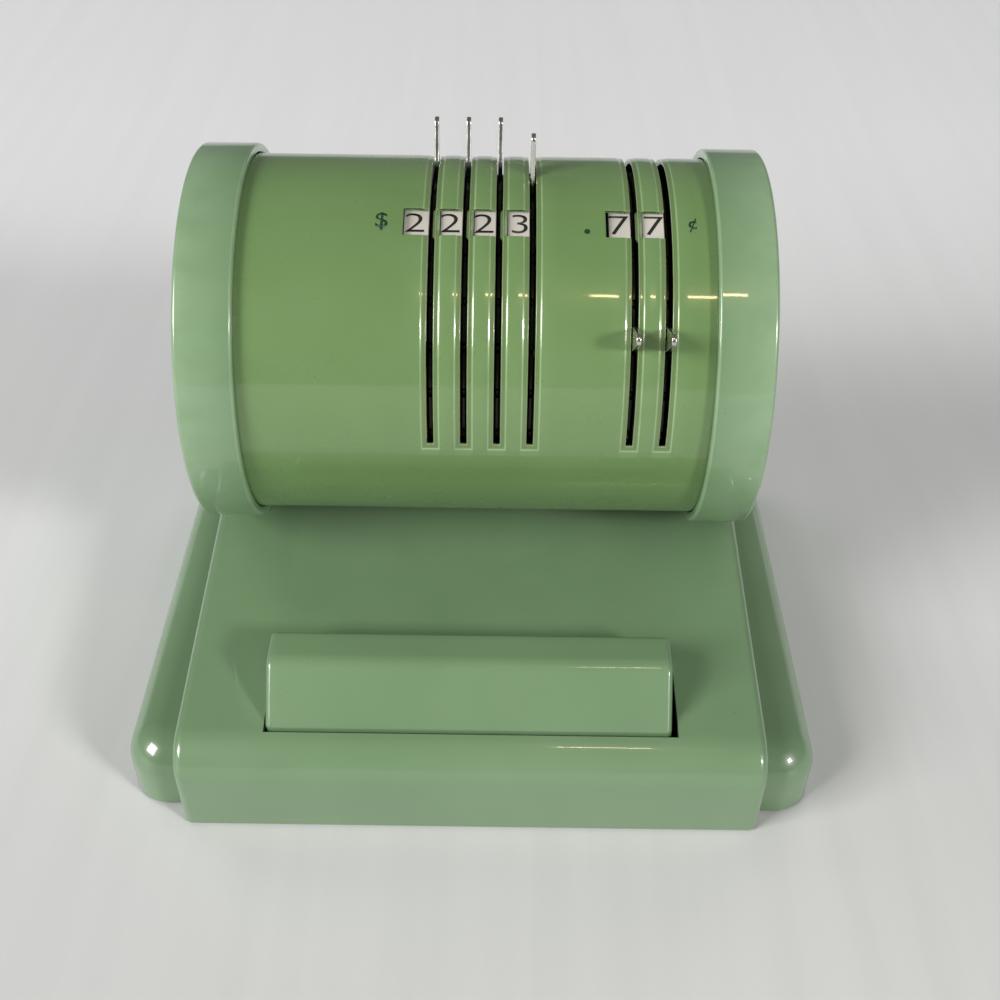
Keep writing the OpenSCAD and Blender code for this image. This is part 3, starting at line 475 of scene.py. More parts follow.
# %% Grid helper
def grid_mesh(name, points, keep=None, wrap=(False, False), wear_and_highlight=None, track_tint=None):
    """Mesh of a grid of points (m, n, 3) in mm. Cell (i, j) joins points i, i+1 and j, j+1;
    keep is a mask of the cells to make, wrap joins the last row or column to the first, and
    the last two values (0 to 1 at each point) tell the enamel where edges are paler, part wear
    and part painted highlight, and where the inside of a track is tinted darker and browner."""
    m, n = points.shape[:2]
    rows = np.arange(m if wrap[0] else m - 1)
    cols = np.arange(n if wrap[1] else n - 1)
    i, j = np.meshgrid(rows, cols, indexing="ij")
    i2, j2 = (i + 1) % m, (j + 1) % n
    quads = np.stack([i * n + j, i2 * n + j, i2 * n + j2, i * n + j2], axis=-1)
    quads = quads[keep] if keep is not None else quads.reshape(-1, 4)
    mesh = bpy.data.meshes.new(name)
    mesh.vertices.add(m * n)
    mesh.vertices.foreach_set("co", (points * MM).astype(np.float32).ravel())
    mesh.loops.add(quads.size)
    mesh.loops.foreach_set("vertex_index", quads.astype(np.int32).ravel())
    mesh.polygons.add(len(quads))
    mesh.polygons.foreach_set("loop_start", np.arange(0, quads.size, 4, dtype=np.int32))
    mesh.update(calc_edges=True)
    for title, value in (("wear_and_highlight", wear_and_highlight), ("track_tint", track_tint)):
        if value is not None:
            value = np.broadcast_to(value, (m, n)).astype(np.float32).ravel()
            mesh.attributes.new(title, "FLOAT", "POINT").data.foreach_set("value", value)
    return mesh


def tidy(mesh, sharp=35):
    """Merges doubled points, drops loose ones, turns faces outwards and smooths under an angle."""
    work = bmesh.new()
    work.from_mesh(mesh)
    bmesh.ops.remove_doubles(work, verts=work.verts, dist=2e-6)
    bmesh.ops.dissolve_degenerate(work, dist=1e-6, edges=work.edges)
    loose = [v for v in work.verts if not v.link_faces]
    bmesh.ops.delete(work, geom=loose, context="VERTS")
    bmesh.ops.recalc_face_normals(work, faces=work.faces)
    work.to_mesh(mesh)
    work.free()
    mesh.shade_smooth()
    mesh.set_sharp_from_angle(angle=math.radians(sharp))
    return mesh


def place(mesh, material, body, replaces=()):
    """Makes the piece: an object at the origin that rides on a body and stands for its nodes."""
    piece = new_object(mesh.name, mesh)
    mesh.materials.clear()
    mesh.materials.append(material)
    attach(piece, body)
    if replaces:
        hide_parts(*replaces)
    return piece


def arc(centre, radius, start, end, count):
    """Points of an arc in the plane, from start to end in degrees: centre + radius (cos, sin)."""
    t = np.radians(np.linspace(start, end, count))
    return np.stack([centre[0] + radius * np.cos(t), centre[1] + radius * np.sin(t)], axis=1)


def unit_rows(vectors):
    """Each row divided by its length."""
    return vectors / np.linalg.norm(vectors, axis=1)[:, None]


def points_of(mesh):
    """The mesh's points as rows of an array, in metres."""
    co = np.zeros(len(mesh.vertices) * 3, np.float32)
    mesh.vertices.foreach_get("co", co)
    return co.reshape(-1, 3)


def move_points(mesh, co):
    """Puts the mesh's points at the rows of an array, in metres."""
    mesh.vertices.foreach_set("co", co.astype(np.float32).ravel())
    mesh.update()
    return mesh


def mesh_of(name, curve):
    """The mesh that a curve or a text makes; no object is left of it."""
    holder = new_object(name, curve)
    bpy.context.view_layer.update()
    depsgraph = bpy.context.evaluated_depsgraph_get()
    made = bpy.data.meshes.new_from_object(holder.evaluated_get(depsgraph))
    bpy.data.objects.remove(holder)
    made.name = name
    return made


def round_drum(x, radius, angle):
    """Point at x, a radius and an angle round the drum: forward is radius cos, up is radius sin."""
    t = np.radians(angle)
    return np.stack(np.broadcast_arrays(x, AXIS_Y - radius * np.cos(t),
                                        AXIS_H + radius * np.sin(t)), axis=-1)


# %% [markdown]
# ## The drum cover
#
# On the real machine this is one sheet, rolled into a cylinder. Six slots are
# cut for the levers, each in a shallow pressed track, and a window for the
# number stands left of each slot. It is made here as a grid in x and angle.
# The radius is the drum's radius, less the track's depth where the distance
# to the track is negative, less a small round lip where an opening is near.
# Cells inside an opening are left out, and Solidify gives the sheet its wall.
# Grid lines are placed at every edge, so the openings are exact.

# %% Places of the slots and windows
DRUM_R, SHEET = 55.0, 1.4
COVER_HALF, COVER_FRONT, COVER_REAR = 80.2, -64, 195
PITCH, FIRST_SLOT = 9.525, -12.8
COLUMNS = [0, 1, 2, 3, 6, 7]
SHOWN = [2, 2, 2, 3, 7, 7]
SLOT_X = [FIRST_SLOT + PITCH * c for c in COLUMNS]
SLOT_W, TRACK_W, TRACK_DEEP, TRACK_PAST = 1.9, 5.0, 0.25, 1.7
SLOT_LOW, SLOT_HIGH = -3.6, 140.2
WINDOW_W, WINDOW_H, WINDOW_AT, SEAM = 7.1, 9.5, 66.7, 0.05
DEG = math.pi * DRUM_R / 180
slots = [(x, (SLOT_LOW + SLOT_HIGH) / 2 * DEG, SLOT_W / 2, (SLOT_HIGH - SLOT_LOW) / 2 * DEG)
         for x in SLOT_X]
windows = [(x - SLOT_W / 2 - WINDOW_W / 2 + SEAM, WINDOW_AT * DEG, WINDOW_W / 2 + SEAM,
            WINDOW_H / 2) for x in SLOT_X]
tracks = [(x, s, TRACK_W / 2, h + TRACK_PAST) for x, s, _, h in slots]
print("slots at x =", [round(x, 2) for x in SLOT_X])


# %% Distance to a set of rectangles
def outside(x, s, boxes):
    """Distance in mm to the nearest of the boxes (centre x, centre s, half width, half length),
    negative inside: the length of the part of |p - centre| - half that is above zero."""
    best = np.full(np.broadcast(x, s).shape, 1e9)
    for cx, cs, hx, hs in boxes:
        qx, qs = np.abs(x - cx) - hx, np.abs(s - cs) - hs
        d = np.hypot(np.maximum(qx, 0), np.maximum(qs, 0)) + np.minimum(np.maximum(qx, qs), 0)
        best = np.minimum(best, d)
    return best


def lines(edges, offsets, low, high, step):
    """Sorted grid lines: each edge with its offsets, and fillers no more than a step apart."""
    base = {low, high}
    base.update(round(e + o, 4) for e in edges for o in offsets if low < e + o < high)
    base = sorted(base)
    out = [base[0]]
    for value in base[1:]:
        if value - out[-1] > 0.02:
            parts = max(1, math.ceil((value - out[-1]) / step))
            out.extend(np.linspace(out[-1], value, parts + 1)[1:])
    return np.array(out)


# %% Build the drum cover
LIP, TRACK_SIDE = 0.3, 0.9
RIDGE_W, WEAR_GLINT_W, TRACK_TINT_W = 0.22, 0.30, 0.4
near = [-0.35, -0.18, 0.0, 0.09, 0.18, 0.35]
x_edges = [b[0] + side * b[2] for b in slots + windows + tracks for side in (-1, 1)]
s_edges = [b[1] + side * b[3] for b in slots + windows + tracks for side in (-1, 1)]
xs = lines(x_edges, near, -COVER_HALF, COVER_HALF, 5.0)
ss = lines(s_edges, near, COVER_FRONT * DEG, COVER_REAR * DEG, 2.4)
X, S = np.meshgrid(xs, ss, indexing="ij")
opening = outside(X, S, slots + windows)
from_track = outside(X, S, tracks)
sunk = np.clip(0.5 - from_track / TRACK_SIDE, 0, 1)
sunk = sunk * sunk * (3 - 2 * sunk)
near_edge = np.clip(LIP - opening, 0, LIP)
lip = LIP - np.sqrt(LIP ** 2 - near_edge ** 2)
points = round_drum(X, DRUM_R - TRACK_DEEP * sunk - lip, S / DEG)
# Paler along each track's rim and beside the slots: part wear, part painted highlight where the edges catch
# the light.
ridge = np.exp(-(from_track / RIDGE_W) ** 2)
wear_and_glint = np.clip(0.75 * ridge + np.clip(1 - outside(X, S, slots) / WEAR_GLINT_W, 0, 1), 0, 1)
# Darker, browner tint inside the tracks, away from their rims.
track_tint_share = 0.45 * np.clip(-from_track / TRACK_TINT_W, 0, 1) * (1 - wear_and_glint)
middle_x, middle_s = np.meshgrid((xs[1:] + xs[:-1]) / 2, (ss[1:] + ss[:-1]) / 2, indexing="ij")
sheet = grid_mesh("drum_shell", points, keep=outside(middle_x, middle_s, slots + windows) > 0,
                  wear_and_highlight=wear_and_glint, track_tint=track_tint_share)
drum_shell = place(tidy(sheet, 50), drum_enamel, "base", ["drum_cover"])
wall = drum_shell.modifiers.new("wall", "SOLIDIFY")
wall.thickness = SHEET * MM
wall.offset = -1.0
print("drum cover:", len(drum_shell.data.polygons), "faces before its wall")

# %% [markdown]
# ## The end caps
#
# Each end of the drum has a deep cup, spun or pressed, with a rounded outer
# edge and a rolled mouth. A cup is a profile turned round the drum's axis:
# the profile is a closed loop of (x, radius) points, so the turned surface
# is closed too, with the screw hole in its middle.

# %% End caps
CAP_IN, CAP_OUT, CAP_R, CAP_WALL = 67.3, 84.1, 58.0, 2.7
MOUTH_R, CAP_EDGE_R, HOLE_R = 0.9, 1.3, 2.3


def cap_profile():
    """Closed loop (x, radius): mouth, round edge, outer face, hole, inner face, skirt."""
    inner = CAP_R - CAP_WALL
    floor = CAP_OUT - CAP_WALL
    loop = [arc((CAP_IN + MOUTH_R, CAP_R - MOUTH_R), MOUTH_R, 180, 90, 8),
            arc((CAP_OUT - CAP_EDGE_R, CAP_R - CAP_EDGE_R), CAP_EDGE_R, 90, 0, 10),
            np.array([[CAP_OUT, r] for r in (52, 40, 26, 12)]),
            arc((CAP_OUT - 0.2, HOLE_R + 0.2), 0.2, 0, -90, 4),
            np.array([[floor, HOLE_R], [floor, 20], [floor, 40]]),
            arc((floor - 0.6, inner - 0.6), 0.6, 0, 90, 5),
            arc((CAP_IN + 0.5, inner + 0.5), 0.5, 270, 180, 5)]
    return np.concatenate(loop)


def turned(name, profile, count):
    """The loop (x, radius) turned round the drum's axis: (x, radius cos a, radius sin a)."""
    angle = np.linspace(0, 360, count, endpoint=False)
    grid = round_drum(profile[:, :1], profile[:, 1:], angle[None, :])
    # The small rounded rims of the profile are made paler: painted highlight where they catch the light.
    after, before = np.roll(profile, -1, 0), np.roll(profile, 1, 0)
    fold = np.linalg.norm(after - 2 * profile + before, axis=1)
    small = np.linalg.norm(after - profile, axis=1) < 0.5
    wear_and_highlight = 0.35 * (small & (fold > 0.01))
    return grid_mesh(name, grid, wrap=(True, True), wear_and_highlight=wear_and_highlight[:, None])


for side, sign in (("left", -1), ("right", 1)):
    loop = cap_profile() * [sign, 1]
    cap = place(tidy(turned(side + "_cap", loop, 224), 50), pale_enamel, "base",
                [side + "_end_cap"])
    print(cap.name, len(cap.data.polygons), "faces")

# %% [markdown]
# ## The press bar
#
# The long palm bar has a flat top, a slanted front with a soft edge between
# them, and rounded ends. It is a side view carried along x. Near the ends the
# side view shrinks along its own normals while x follows a quarter circle,
# which rolls every edge over, and a last ring closes the end face.

# %% Press bar
DECK_D, SLOPE = 59.45, math.radians(7)
BAR_FRONT, BAR_TOP_FRONT, BAR_BACK = 101.8, 89.8, 77.1
BAR_HALF, BAR_MID, BAR_STAND, BAR_SKIRT = 59.4, -0.7, 12.6, 8
FRONT_R, BACK_R, KNEE_R, END_ROLL = 5.5, 1.75, 1.3, 1.7


def deck_u(f):
    """Height of the sloping deck below the drum's axis at a place f forward of it."""
    return -DECK_D - np.maximum(f, 0) * math.tan(SLOPE)


def bar_section():
    """Closed side view (forward, up): back, round edge, top, soft edge, slant, skirt, bottom."""
    top = deck_u(BAR_BACK) + BAR_STAND
    foot = deck_u(BAR_FRONT) - BAR_SKIRT
    slant = math.degrees(math.atan2(top - deck_u(BAR_FRONT), BAR_FRONT - BAR_TOP_FRONT))
    front_c = (BAR_TOP_FRONT - FRONT_R * math.tan(math.radians(slant / 2)), top - FRONT_R)
    back_c = (BAR_BACK + BACK_R, top - BACK_R)
    knee = np.array([BAR_FRONT, deck_u(BAR_FRONT)])
    knee_c = (BAR_FRONT - KNEE_R, knee[1] - KNEE_R * math.tan(math.radians(45 - slant / 2)) + 0.1)
    away = np.array([math.cos(math.radians(slant)), -math.sin(math.radians(slant))])
    parts = [np.linspace([BAR_BACK, foot], [BAR_BACK, back_c[1]], 6)[:-1],
             arc(back_c, BACK_R, 180, 90, 7),
             np.linspace([back_c[0], top], [front_c[0], top], 6)[1:-1],
             arc(front_c, FRONT_R, 90, 90 - slant, 14),
             [knee - away * 9, knee - away * 4],
             arc(knee_c, KNEE_R, 90 - slant, 0, 7),
             np.linspace(knee + [0, -3], [BAR_FRONT, foot], 4),
             [[(BAR_FRONT + BAR_BACK) / 2, foot]]]
    return np.concatenate([np.array(part) for part in parts])


def outward(loop):
    """Unit normals of a closed loop in the plane: the tangent between neighbours, turned left."""
    tangent = unit_rows(np.roll(loop, -1, axis=0) - np.roll(loop, 1, axis=0))
    return np.stack([-tangent[:, 1], tangent[:, 0]], axis=1)


section = bar_section()
normals = outward(section)
straight = BAR_HALF - END_ROLL
steps = np.radians(np.linspace(90, 0, 8))
rings = [(-BAR_HALF + END_ROLL - END_ROLL * math.sin(t), END_ROLL * (1 - math.cos(t)))
         for t in steps]
rings += [(x, 0.0) for x in np.linspace(-straight, straight, 30)[1:-1]]
rings += [(-x, d) for x, d in reversed(rings[:8])]
bar_rows = []
for x, inset in rings:
    loop = section - normals * inset
    bar_rows.append(np.column_stack([np.full(len(loop), x + BAR_MID),
                                     AXIS_Y - loop[:, 0], AXIS_H + loop[:, 1]]))
ends = []
for row, sign in ((bar_rows[0], -1), (bar_rows[-1], 1)):
    hub = row.mean(axis=0)
    ends.append([hub + (row - hub) * share for share in (0.0, 0.5)])
bar_rows = ends[0] + bar_rows + ends[1][::-1]
bar_mesh = grid_mesh("press_bar_shell", np.array(bar_rows), wrap=(False, True))
press_bar = place(tidy(bar_mesh, 40), pale_enamel, "press_lever", ["press_bar"])
print("press bar:", len(press_bar.data.polygons), "faces")

# %% [markdown]
# ## The housing
#
# The housing is exact already: its deck, rolls and mouldings are true
# cylinders and planes. What a CAD edge lacks is the small radius that a
# pressed and enamelled edge has, which is what catches the light. So the
# node's mesh is copied, its loose triangles are merged and its flat faces
# joined, and a Bevel rounds each edge sharper than 32 degrees.

# %% Housing with soft edges
def merged_copy(node, name):
    """A copy of a CAD node's mesh with its loose triangles merged and flat faces joined."""
    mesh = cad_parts[node].data.copy()
    mesh.name = name
    work = bmesh.new()
    work.from_mesh(mesh)
    bmesh.ops.remove_doubles(work, verts=work.verts, dist=5e-6)
    bmesh.ops.dissolve_limit(work, angle_limit=math.radians(0.4), verts=work.verts,
                             edges=work.edges)
    work.to_mesh(mesh)
    work.free()
    for layer in [a.name for a in mesh.attributes if a.name == "custom_normal"]:
        mesh.attributes.remove(mesh.attributes[layer])
    mesh.shade_smooth()
    mesh.set_sharp_from_angle(angle=math.radians(32))
    return mesh


def soften(piece, width, segments=2, angle=32):
    """Rounds each edge sharper than an angle by a width in mm."""
    bevel = piece.modifiers.new("soft_edges", "BEVEL")
    bevel.width = width * MM
    bevel.segments = segments
    bevel.limit_method = "ANGLE"
    bevel.angle_limit = math.radians(angle)
    bevel.harden_normals = True
    return bevel


housing = place(merged_copy("base_housing", "housing_shell"), pale_enamel, "base",
                ["base_housing"])
soften(housing, 0.35)
print("housing:", len(housing.data.polygons), "faces before the bevel")

# %% [markdown]
# ## The index levers
#
# Each lever is one nickelled blade: a notched disc inside the drum with a
# tapering finger that stands out of its slot. The outline is a chain of arcs
# and straight runs worked out with numpy. A flat curve fills it, holes
# included, gives it thickness and rounds its edges, and is then made a mesh
# and stood upright at its slot.

# %% Lever outline
PLATE_R, LEVER_R, BLADE = 50.0, 67.0, 1.3
ROOT_W, TIP_W, NOTCH_R = 6.4, 3.8, 1.2
DIGIT_STEP, SEVEN_AT, DETENT_AT = 15, 30.7, 222
HOLE_AT, WEB_HOLE_R, HUB_HOLE_R, BLADE_EDGE = 29, 8, 7.05, 0.25


def lever_outline(lever_at):
    """Closed outline (forward, up): a notched circle, opened at the lever's angle by its finger."""
    half = math.degrees(math.asin((ROOT_W / 2 + 0.6) / (PLATE_R - 0.2)))
    bite = math.degrees(NOTCH_R / PLATE_R)
    angles = lever_at + half + np.arange(0, 360 - 2 * half, 0.35)
    from_notch = (angles - DETENT_AT + DIGIT_STEP / 2) % DIGIT_STEP - DIGIT_STEP / 2
    chord = np.clip(1 - (from_notch / bite) ** 2, 0, 1)
    radius = PLATE_R - NOTCH_R * np.sqrt(chord)
    rim = radius[:, None] * np.stack([np.cos(np.radians(angles)), np.sin(np.radians(angles))], 1)
    t = math.radians(lever_at)
    along, across = np.array([math.cos(t), math.sin(t)]), np.array([-math.sin(t), math.cos(t)])
    end = LEVER_R - TIP_W / 2
    finger = np.array([[DRUM_R, -ROOT_W / 2], [end, -TIP_W / 2]])
    tip = arc((0, 0), TIP_W / 2, -80, 80, 13) + [end, 0]
    finger = np.concatenate([finger, tip, [[end, TIP_W / 2], [DRUM_R, ROOT_W / 2]]])
    finger = finger[:, :1] * along + finger[:, 1:] * across
    return np.concatenate([finger, rim])


def flat_plate(name, loops, half_thick, edge):
    """Mesh of a filled flat curve: loops of (forward, up) points, holes included, so many mm
    thick, its edges rounded by edge; forward becomes the curve's x and up its y."""
    curve = bpy.data.curves.new(name, "CURVE")
    curve.dimensions = "2D"
    curve.fill_mode = "BOTH"
    curve.extrude = (half_thick - edge) * MM
    curve.bevel_depth = edge * MM
    curve.bevel_resolution = 2
    curve.offset = -edge * MM
    for loop in loops:
        spline = curve.splines.new("POLY")
        spline.points.add(len(loop) - 1)
        flat = np.column_stack([loop * MM, np.zeros(len(loop)), np.ones(len(loop))])
        spline.points.foreach_set("co", flat.ravel())
        spline.use_cyclic_u = True
    return mesh_of(name, curve)


def stand_up(mesh, x):
    """Turns a flat plate (forward, up, thickness) into the drum's frame at a place x."""
    co = points_of(mesh)
    return move_points(mesh, np.stack([co[:, 2] + x * MM, AXIS_Y * MM - co[:, 0],
                                       AXIS_H * MM + co[:, 1]], axis=1))


# %% Levers
def lever_angle(k):
    """Angle at which lever k stands: the seven's angle and a step for each number below it."""
    return SEVEN_AT + (7 - SHOWN[k - 1]) * DIGIT_STEP


for k in WHEELS:
    holes = [arc((HOLE_AT * math.cos(math.radians(a)), HOLE_AT * math.sin(math.radians(a))),
                 WEB_HOLE_R, 0, 352.5, 48) for a in range(30, 360, 60)]
    holes.append(arc((0, 0), HUB_HOLE_R, 0, 355, 72))
    blade = flat_plate(f"lever_blade_{k}", [lever_outline(lever_angle(k))] + holes, BLADE / 2,
                       BLADE_EDGE)
    blade = tidy(stand_up(blade, SLOT_X[k - 1]), 40)
    place(blade, lever_nickel, f"wheel_{k}", [f"index_lever_{k}"])
print("levers at", [round(lever_angle(k), 1) for k in WHEELS], "degrees")

# %% [markdown]
# ## The number dials
#
# Behind each window runs an off-white arc with the ten numbers. The arc is a
# grid in x and angle, closed all round. The numbers are plain gothic
# figures: each is made from Blender's own text, turned into a mesh, cut into
# narrow bands so that it can bend, and wrapped round the drum's axis.

# %% Dial arcs
FACE_R, DIAL_IN, DIAL_CORE, DIAL_EDGE, NARROWER = 53.1, 50.75, 51.9, 0.15, 0.9
for k in WHEELS:
    slot_x = SLOT_X[k - 1]
    right_x = slot_x - SLOT_W / 2
    left_x = right_x - WINDOW_W + (NARROWER if k > 1 else 0.0)
    low = WINDOW_AT - (SHOWN[k - 1] + 0.5) * DIGIT_STEP
    ring = np.array([[left_x, DIAL_IN], [left_x, FACE_R - DIAL_EDGE],
                     [left_x + DIAL_EDGE, FACE_R], [right_x - DIAL_EDGE, FACE_R],
                     [right_x, FACE_R - DIAL_EDGE], [right_x, DIAL_IN]])
    sweep = np.linspace(low, low + 10 * DIGIT_STEP, 91)
    grid = round_drum(ring[:, :1], ring[:, 1:], sweep[None, :])
    core = round_drum(ring[:, :1] * 0 + (left_x + right_x) / 2, ring[:, 1:] * 0 + DIAL_CORE,
                      sweep[None, [0, -1]])
    grid = np.concatenate([core[:, :1], grid, core[:, 1:]], axis=1)
    dial = place(tidy(grid_mesh(f"dial_{k}", grid, wrap=(True, False)), 30), dial_paint,
                 f"wheel_{k}", [f"number_dial_{k}"])
print("dials:", len(dial.data.polygons), "faces each")


# %% Figures wrapped on a cylinder
BAND, LIFT, FILM = 0.7, 0.01, 0.02
FIGURE_H, FIGURE_STRETCH, FIGURE_WEIGHT, FIGURE_UP = 6.8, 1.32, -0.09, 0.9


def figure_mesh(text, height, stretch, weight):
    """Flat mesh of a text, in mm: so high, widened by stretch, strokes thickened by weight,
    with its middle at the origin, cut into bands BAND mm high."""
    curve = bpy.data.curves.new("figure", "FONT")
    curve.body = text
    curve.size = 10
    curve.offset = weight
    curve.resolution_u = 6
    mesh = mesh_of("figure", curve)
    co = points_of(mesh)
    co -= (co.max(0) + co.min(0)) / 2
    scale = height / (co[:, 1].max() - co[:, 1].min())
    co *= [scale * stretch, scale, 0]
    move_points(mesh, co)
    work = bmesh.new()
    work.from_mesh(mesh)
    for y in np.arange(-height / 2 + BAND / 2, height / 2, BAND):
        bmesh.ops.bisect_plane(work, geom=work.verts[:] + work.edges[:] + work.faces[:],
                               plane_co=(0, y, 0), plane_no=(0, 1, 0))
    work.to_mesh(mesh)
    work.free()
    return mesh


def wrap_on_drum(mesh, x, angle, radius):
    """Bends a flat figure: its x stays, its y becomes an angle y / radius round the drum."""
    co = points_of(mesh)
    bent = round_drum(co[:, 0] + x, radius, angle + np.degrees(co[:, 1] / radius))
    return move_points(mesh, bent * MM)


def joined(name, meshes):
    """One mesh of several."""
    work = bmesh.new()
    for mesh in meshes:
        work.from_mesh(mesh)
    out = bpy.data.meshes.new(name)
    work.to_mesh(out)
    work.free()
    return out


def outward_sheet(mesh):
    """Turns each face of a printed figure away from the drum's axis."""
    work = bmesh.new()
    work.from_mesh(mesh)
    axis = Vector((0, AXIS_Y * MM, AXIS_H * MM))
    for face in work.faces:
        out = face.calc_center_median() - axis
        out.x = 0
        if face.normal.dot(out) < 0:
            face.normal_flip()
    work.to_mesh(mesh)
    work.free()
    return mesh


def ink_film(piece):
    """Gives a printed figure its film of ink, FILM mm thick, outwards."""
    film = piece.modifiers.new("film", "SOLIDIFY")
    film.thickness = FILM * MM
    film.offset = 1.0


SHIFT = [-0.45, 0.1, 0.1, 0.75, 0.3, 0.7]
for k in WHEELS:
    middle = SLOT_X[k - 1] - SLOT_W / 2 - WINDOW_W / 2 + SHIFT[k - 1]
    figures = [wrap_on_drum(figure_mesh(str(n), FIGURE_H, FIGURE_STRETCH, FIGURE_WEIGHT), middle,
                            WINDOW_AT + (n - SHOWN[k - 1]) * DIGIT_STEP + FIGURE_UP,
                            FACE_R + LIFT) for n in range(10)]
    piece = place(outward_sheet(joined(f"numbers_{k}", figures)), black_ink, f"wheel_{k}")
    ink_film(piece)
print("numbers: ten on each dial")

# %% [markdown]
# ## Marks on the drum
#
# The real cover carries printed words, which this part leaves off. Plain
# signs stand in their places: a dollar sign before the whole amount, a point
# between, and a cent sign after the last slot.

# %% Printed signs
SIGN_WEIGHT, SIGN_DOWN = 0.10, 0.4
POINT_X, POINT_R, POINT_DOWN, POINT_SIDES = 31.0, 0.85, 3.2, 24
signs = []
for text, x, height, stretch in (("$", -27.0, 6.4, 0.95), ("¢", 60.8, 5.0, 1.0)):
    signs.append(wrap_on_drum(figure_mesh(text, height, stretch, SIGN_WEIGHT), x,
                              WINDOW_AT - SIGN_DOWN, DRUM_R + LIFT))
dot = arc((0, 0), POINT_R, 0, 345, POINT_SIDES)
point = bpy.data.meshes.new("point")
point.from_pydata([(a, b, 0) for a, b in dot], [], [tuple(range(POINT_SIDES))])
signs.append(wrap_on_drum(point, POINT_X, WINDOW_AT - POINT_DOWN, DRUM_R + LIFT))
marks = place(outward_sheet(joined("drum_signs", signs)), green_ink, "base")
ink_film(marks)
print("signs:", len(marks.data.polygons), "faces")

# %% [markdown]
# ## The inked ribbon
#
# Below the type, an inked cloth ribbon is stretched from spool to spool. The
# strip follows a path in x and height. Its cross-section is a thin closed
# loop, flat above and below with round edges. On each spool the ribbon is
# wound as a true spiral: the radius grows by TURN, a little more than the
# ribbon's thickness, in each turn.

# %% Ribbon strip
RIBBON_W, RIBBON_T = 12.0, 0.26
SPOOL_X, SPOOL_U, ROLL_R, CORE_R = 72.3, -40.0, 6.4, 3.06


def strip_loop(half_width, half_thick, count):
    """Closed cross-section (across, up) of a strip: a flat top, round edges and a flat bottom."""
    across = np.linspace(-half_width + half_thick, half_width - half_thick, count)
    top = np.stack([across, np.full(count, half_thick)], 1)
    edge = arc((half_width - half_thick, 0), half_thick, 60, -60, 4)
    return np.concatenate([top, edge, -top, -edge])


half = np.array([[0.0, -54.25], [20, -54.25], [40, -54.25], [52, -54.25], [55.6, -54.22],
                 [57.2, -53.86], [58.6, -53.22], [62, -51.62], [66, -49.75], [70, -47.88],
                 [72.25, -46.92]])
line = np.concatenate([half[::-1] * [-1, 1], half[1:]])
steps = np.linspace(0, len(line) - 1, 161)
path = np.stack([np.interp(steps, np.arange(len(line)), line[:, i]) for i in (0, 1)], 1)
along = unit_rows(np.gradient(path, axis=0))
upward = np.stack([-along[:, 1], along[:, 0]], 1)
loop = strip_loop(RIBBON_W / 2 - 0.05, RIBBON_T / 2, 17)
strip = np.empty((len(path), len(loop), 3))
strip[..., 0] = path[:, :1] + upward[:, :1] * loop[:, 1]
strip[..., 1] = AXIS_Y + loop[:, 0]
strip[..., 2] = AXIS_H + path[:, 1:] + upward[:, 1:] * loop[:, 1]


def capped(rows):
    """Closes both ends of a stack of rings: each end ring is followed by its own middle point."""
    ends = [np.broadcast_to(r.mean(0), r.shape)[None] for r in (rows[0], rows[-1])]
    return np.concatenate([ends[0], rows, ends[1]])


ribbon = place(tidy(grid_mesh("inked_ribbon", capped(strip), wrap=(False, True)), 60), cloth,
               "base", ["ribbon"])

# %% Wound ribbon
TURN = 0.30
turns = (ROLL_R - CORE_R - RIBBON_T) / TURN
for side, sign in (("left", -1), ("right", 1)):
    t = np.linspace(0, turns, int(turns * 40))
    radius = CORE_R + RIBBON_T / 2 + TURN * t
    bearing = 2 * np.pi * t
    out = np.stack([np.cos(bearing), np.sin(bearing)], 1)
    loop = strip_loop(RIBBON_W / 2 - 0.08, RIBBON_T / 2 - 0.01, 5)
    ring = np.empty((len(t), len(loop), 3))
    reach = radius[:, None] + loop[:, 1]
    ring[..., 0] = sign * (SPOOL_X + reach * out[:, :1])
    ring[..., 1] = AXIS_Y + loop[:, 0]
    ring[..., 2] = AXIS_H + SPOOL_U + reach * out[:, 1:]
    wound = place(tidy(grid_mesh(f"{side}_wound_ribbon", capped(ring), wrap=(False, True)), 60),
                  cloth, f"{side}_ribbon_spool", [f"{side}_ribbon_roll"])

# %% [markdown]
# ## The return springs
#
# Two coil springs pull the press lever back up. Each is a wire whose middle
# line is a hook, a helix and a second hook. A tube is swept along it: at each point
# a small ring stands across the wire, carried from the ring before with the
# least twist. The lower hook stays with the base, the upper one moves with the
# lever, and bake_transform() weights the coil so that it bends in between.

# %% Return springs
WIRE_R, HOOK_R, SPRING_X = 0.45, 2.3, 46.5
Z_LOW, Z_HIGH = 7.5, 28.5
COIL_TURNS, PER_TURN, LINE_POINTS, WIRE_SIDES = 7, 36, 420, 10


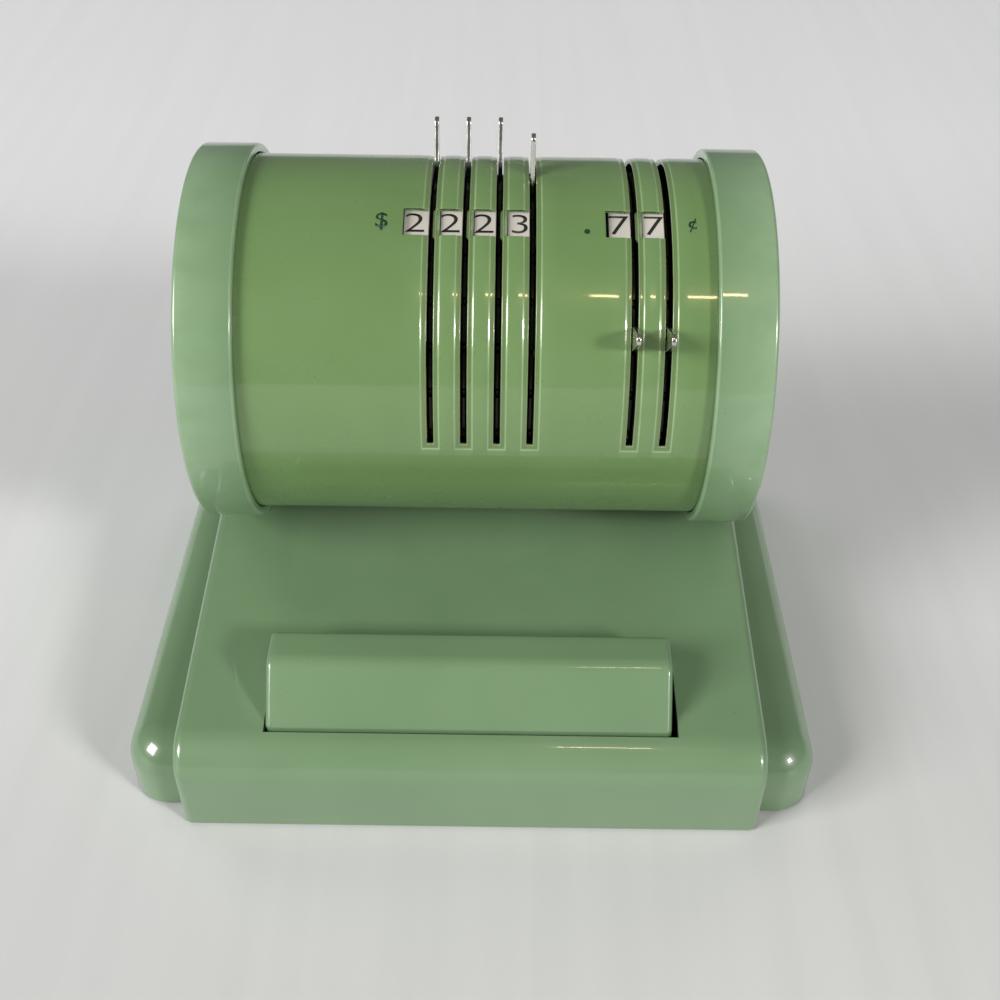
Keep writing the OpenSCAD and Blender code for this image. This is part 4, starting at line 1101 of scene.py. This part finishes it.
def spring_line():
    """Middle line of a spring: hook arc, seven turns of helix going down, hook arc."""
    top, bottom = Z_HIGH - HOOK_R, Z_LOW + HOOK_R
    t = np.radians(np.linspace(172, 30, 22))
    upper = np.stack([t * 0, HOOK_R * np.cos(t), Z_HIGH + HOOK_R * np.sin(t)], 1)
    t = np.linspace(0, COIL_TURNS, COIL_TURNS * PER_TURN + 1)
    a = np.pi / 2 + 2 * np.pi * t
    coil = np.stack([HOOK_R * np.cos(a), HOOK_R * np.sin(a),
                     top - (top - bottom) * t / COIL_TURNS], 1)
    t = np.radians(np.linspace(-30, -172, 22))
    lower = np.stack([t * 0, HOOK_R * np.cos(t), Z_LOW + HOOK_R * np.sin(t)], 1)
    return np.concatenate([upper, coil, lower])


def even(line, count):
    """The same line with points at equal distances along it."""
    run = np.concatenate([[0], np.cumsum(np.linalg.norm(np.diff(line, axis=0), axis=1))])
    at = np.linspace(0, run[-1], count)
    return np.stack([np.interp(at, run, line[:, i]) for i in range(3)], 1)


def tube_mesh(name, line, radius, sides):
    """Tube along a line: point = line + radius (n cos a + b sin a), n carried along without twist,
    and each end rounded off in two rings."""
    tangent = unit_rows(np.gradient(line, axis=0))
    n = np.cross(tangent[0], [1.0, 0.3, 0.2])
    frames = []
    for direction in tangent:
        n = n - direction * np.dot(n, direction)
        n = n / np.linalg.norm(n)
        frames.append(n)
    n = np.array(frames)
    b = np.cross(tangent, n)
    a = np.linspace(0, 2 * np.pi, sides, endpoint=False)[None, :, None]
    rows = line[:, None] + radius * (n[:, None] * np.cos(a) + b[:, None] * np.sin(a))
    rows[0] = line[0] + (rows[0] - line[0]) * 0.7
    rows[-1] = line[-1] + (rows[-1] - line[-1]) * 0.7
    return grid_mesh(name, capped(rows), wrap=(False, True))


coils = []
for x in (-SPRING_X, SPRING_X):
    line = even(spring_line() * [1 if x > 0 else -1, 1, 1] + [x, AXIS_Y, 0], LINE_POINTS)
    coils.append(tube_mesh("coil", line, WIRE_R, WIRE_SIDES))
springs = new_object("coil_springs", tidy(joined("coil_springs", coils), 60))
springs.data.materials.append(bright_steel)
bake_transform(springs, "base", "press_lever", (SPRING_X * MM, AXIS_Y * MM, (Z_LOW + 1) * MM),
         (SPRING_X * MM, AXIS_Y * MM, (Z_HIGH - 1.5) * MM))
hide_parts("return_springs")
print("springs:", len(springs.data.polygons), "faces")
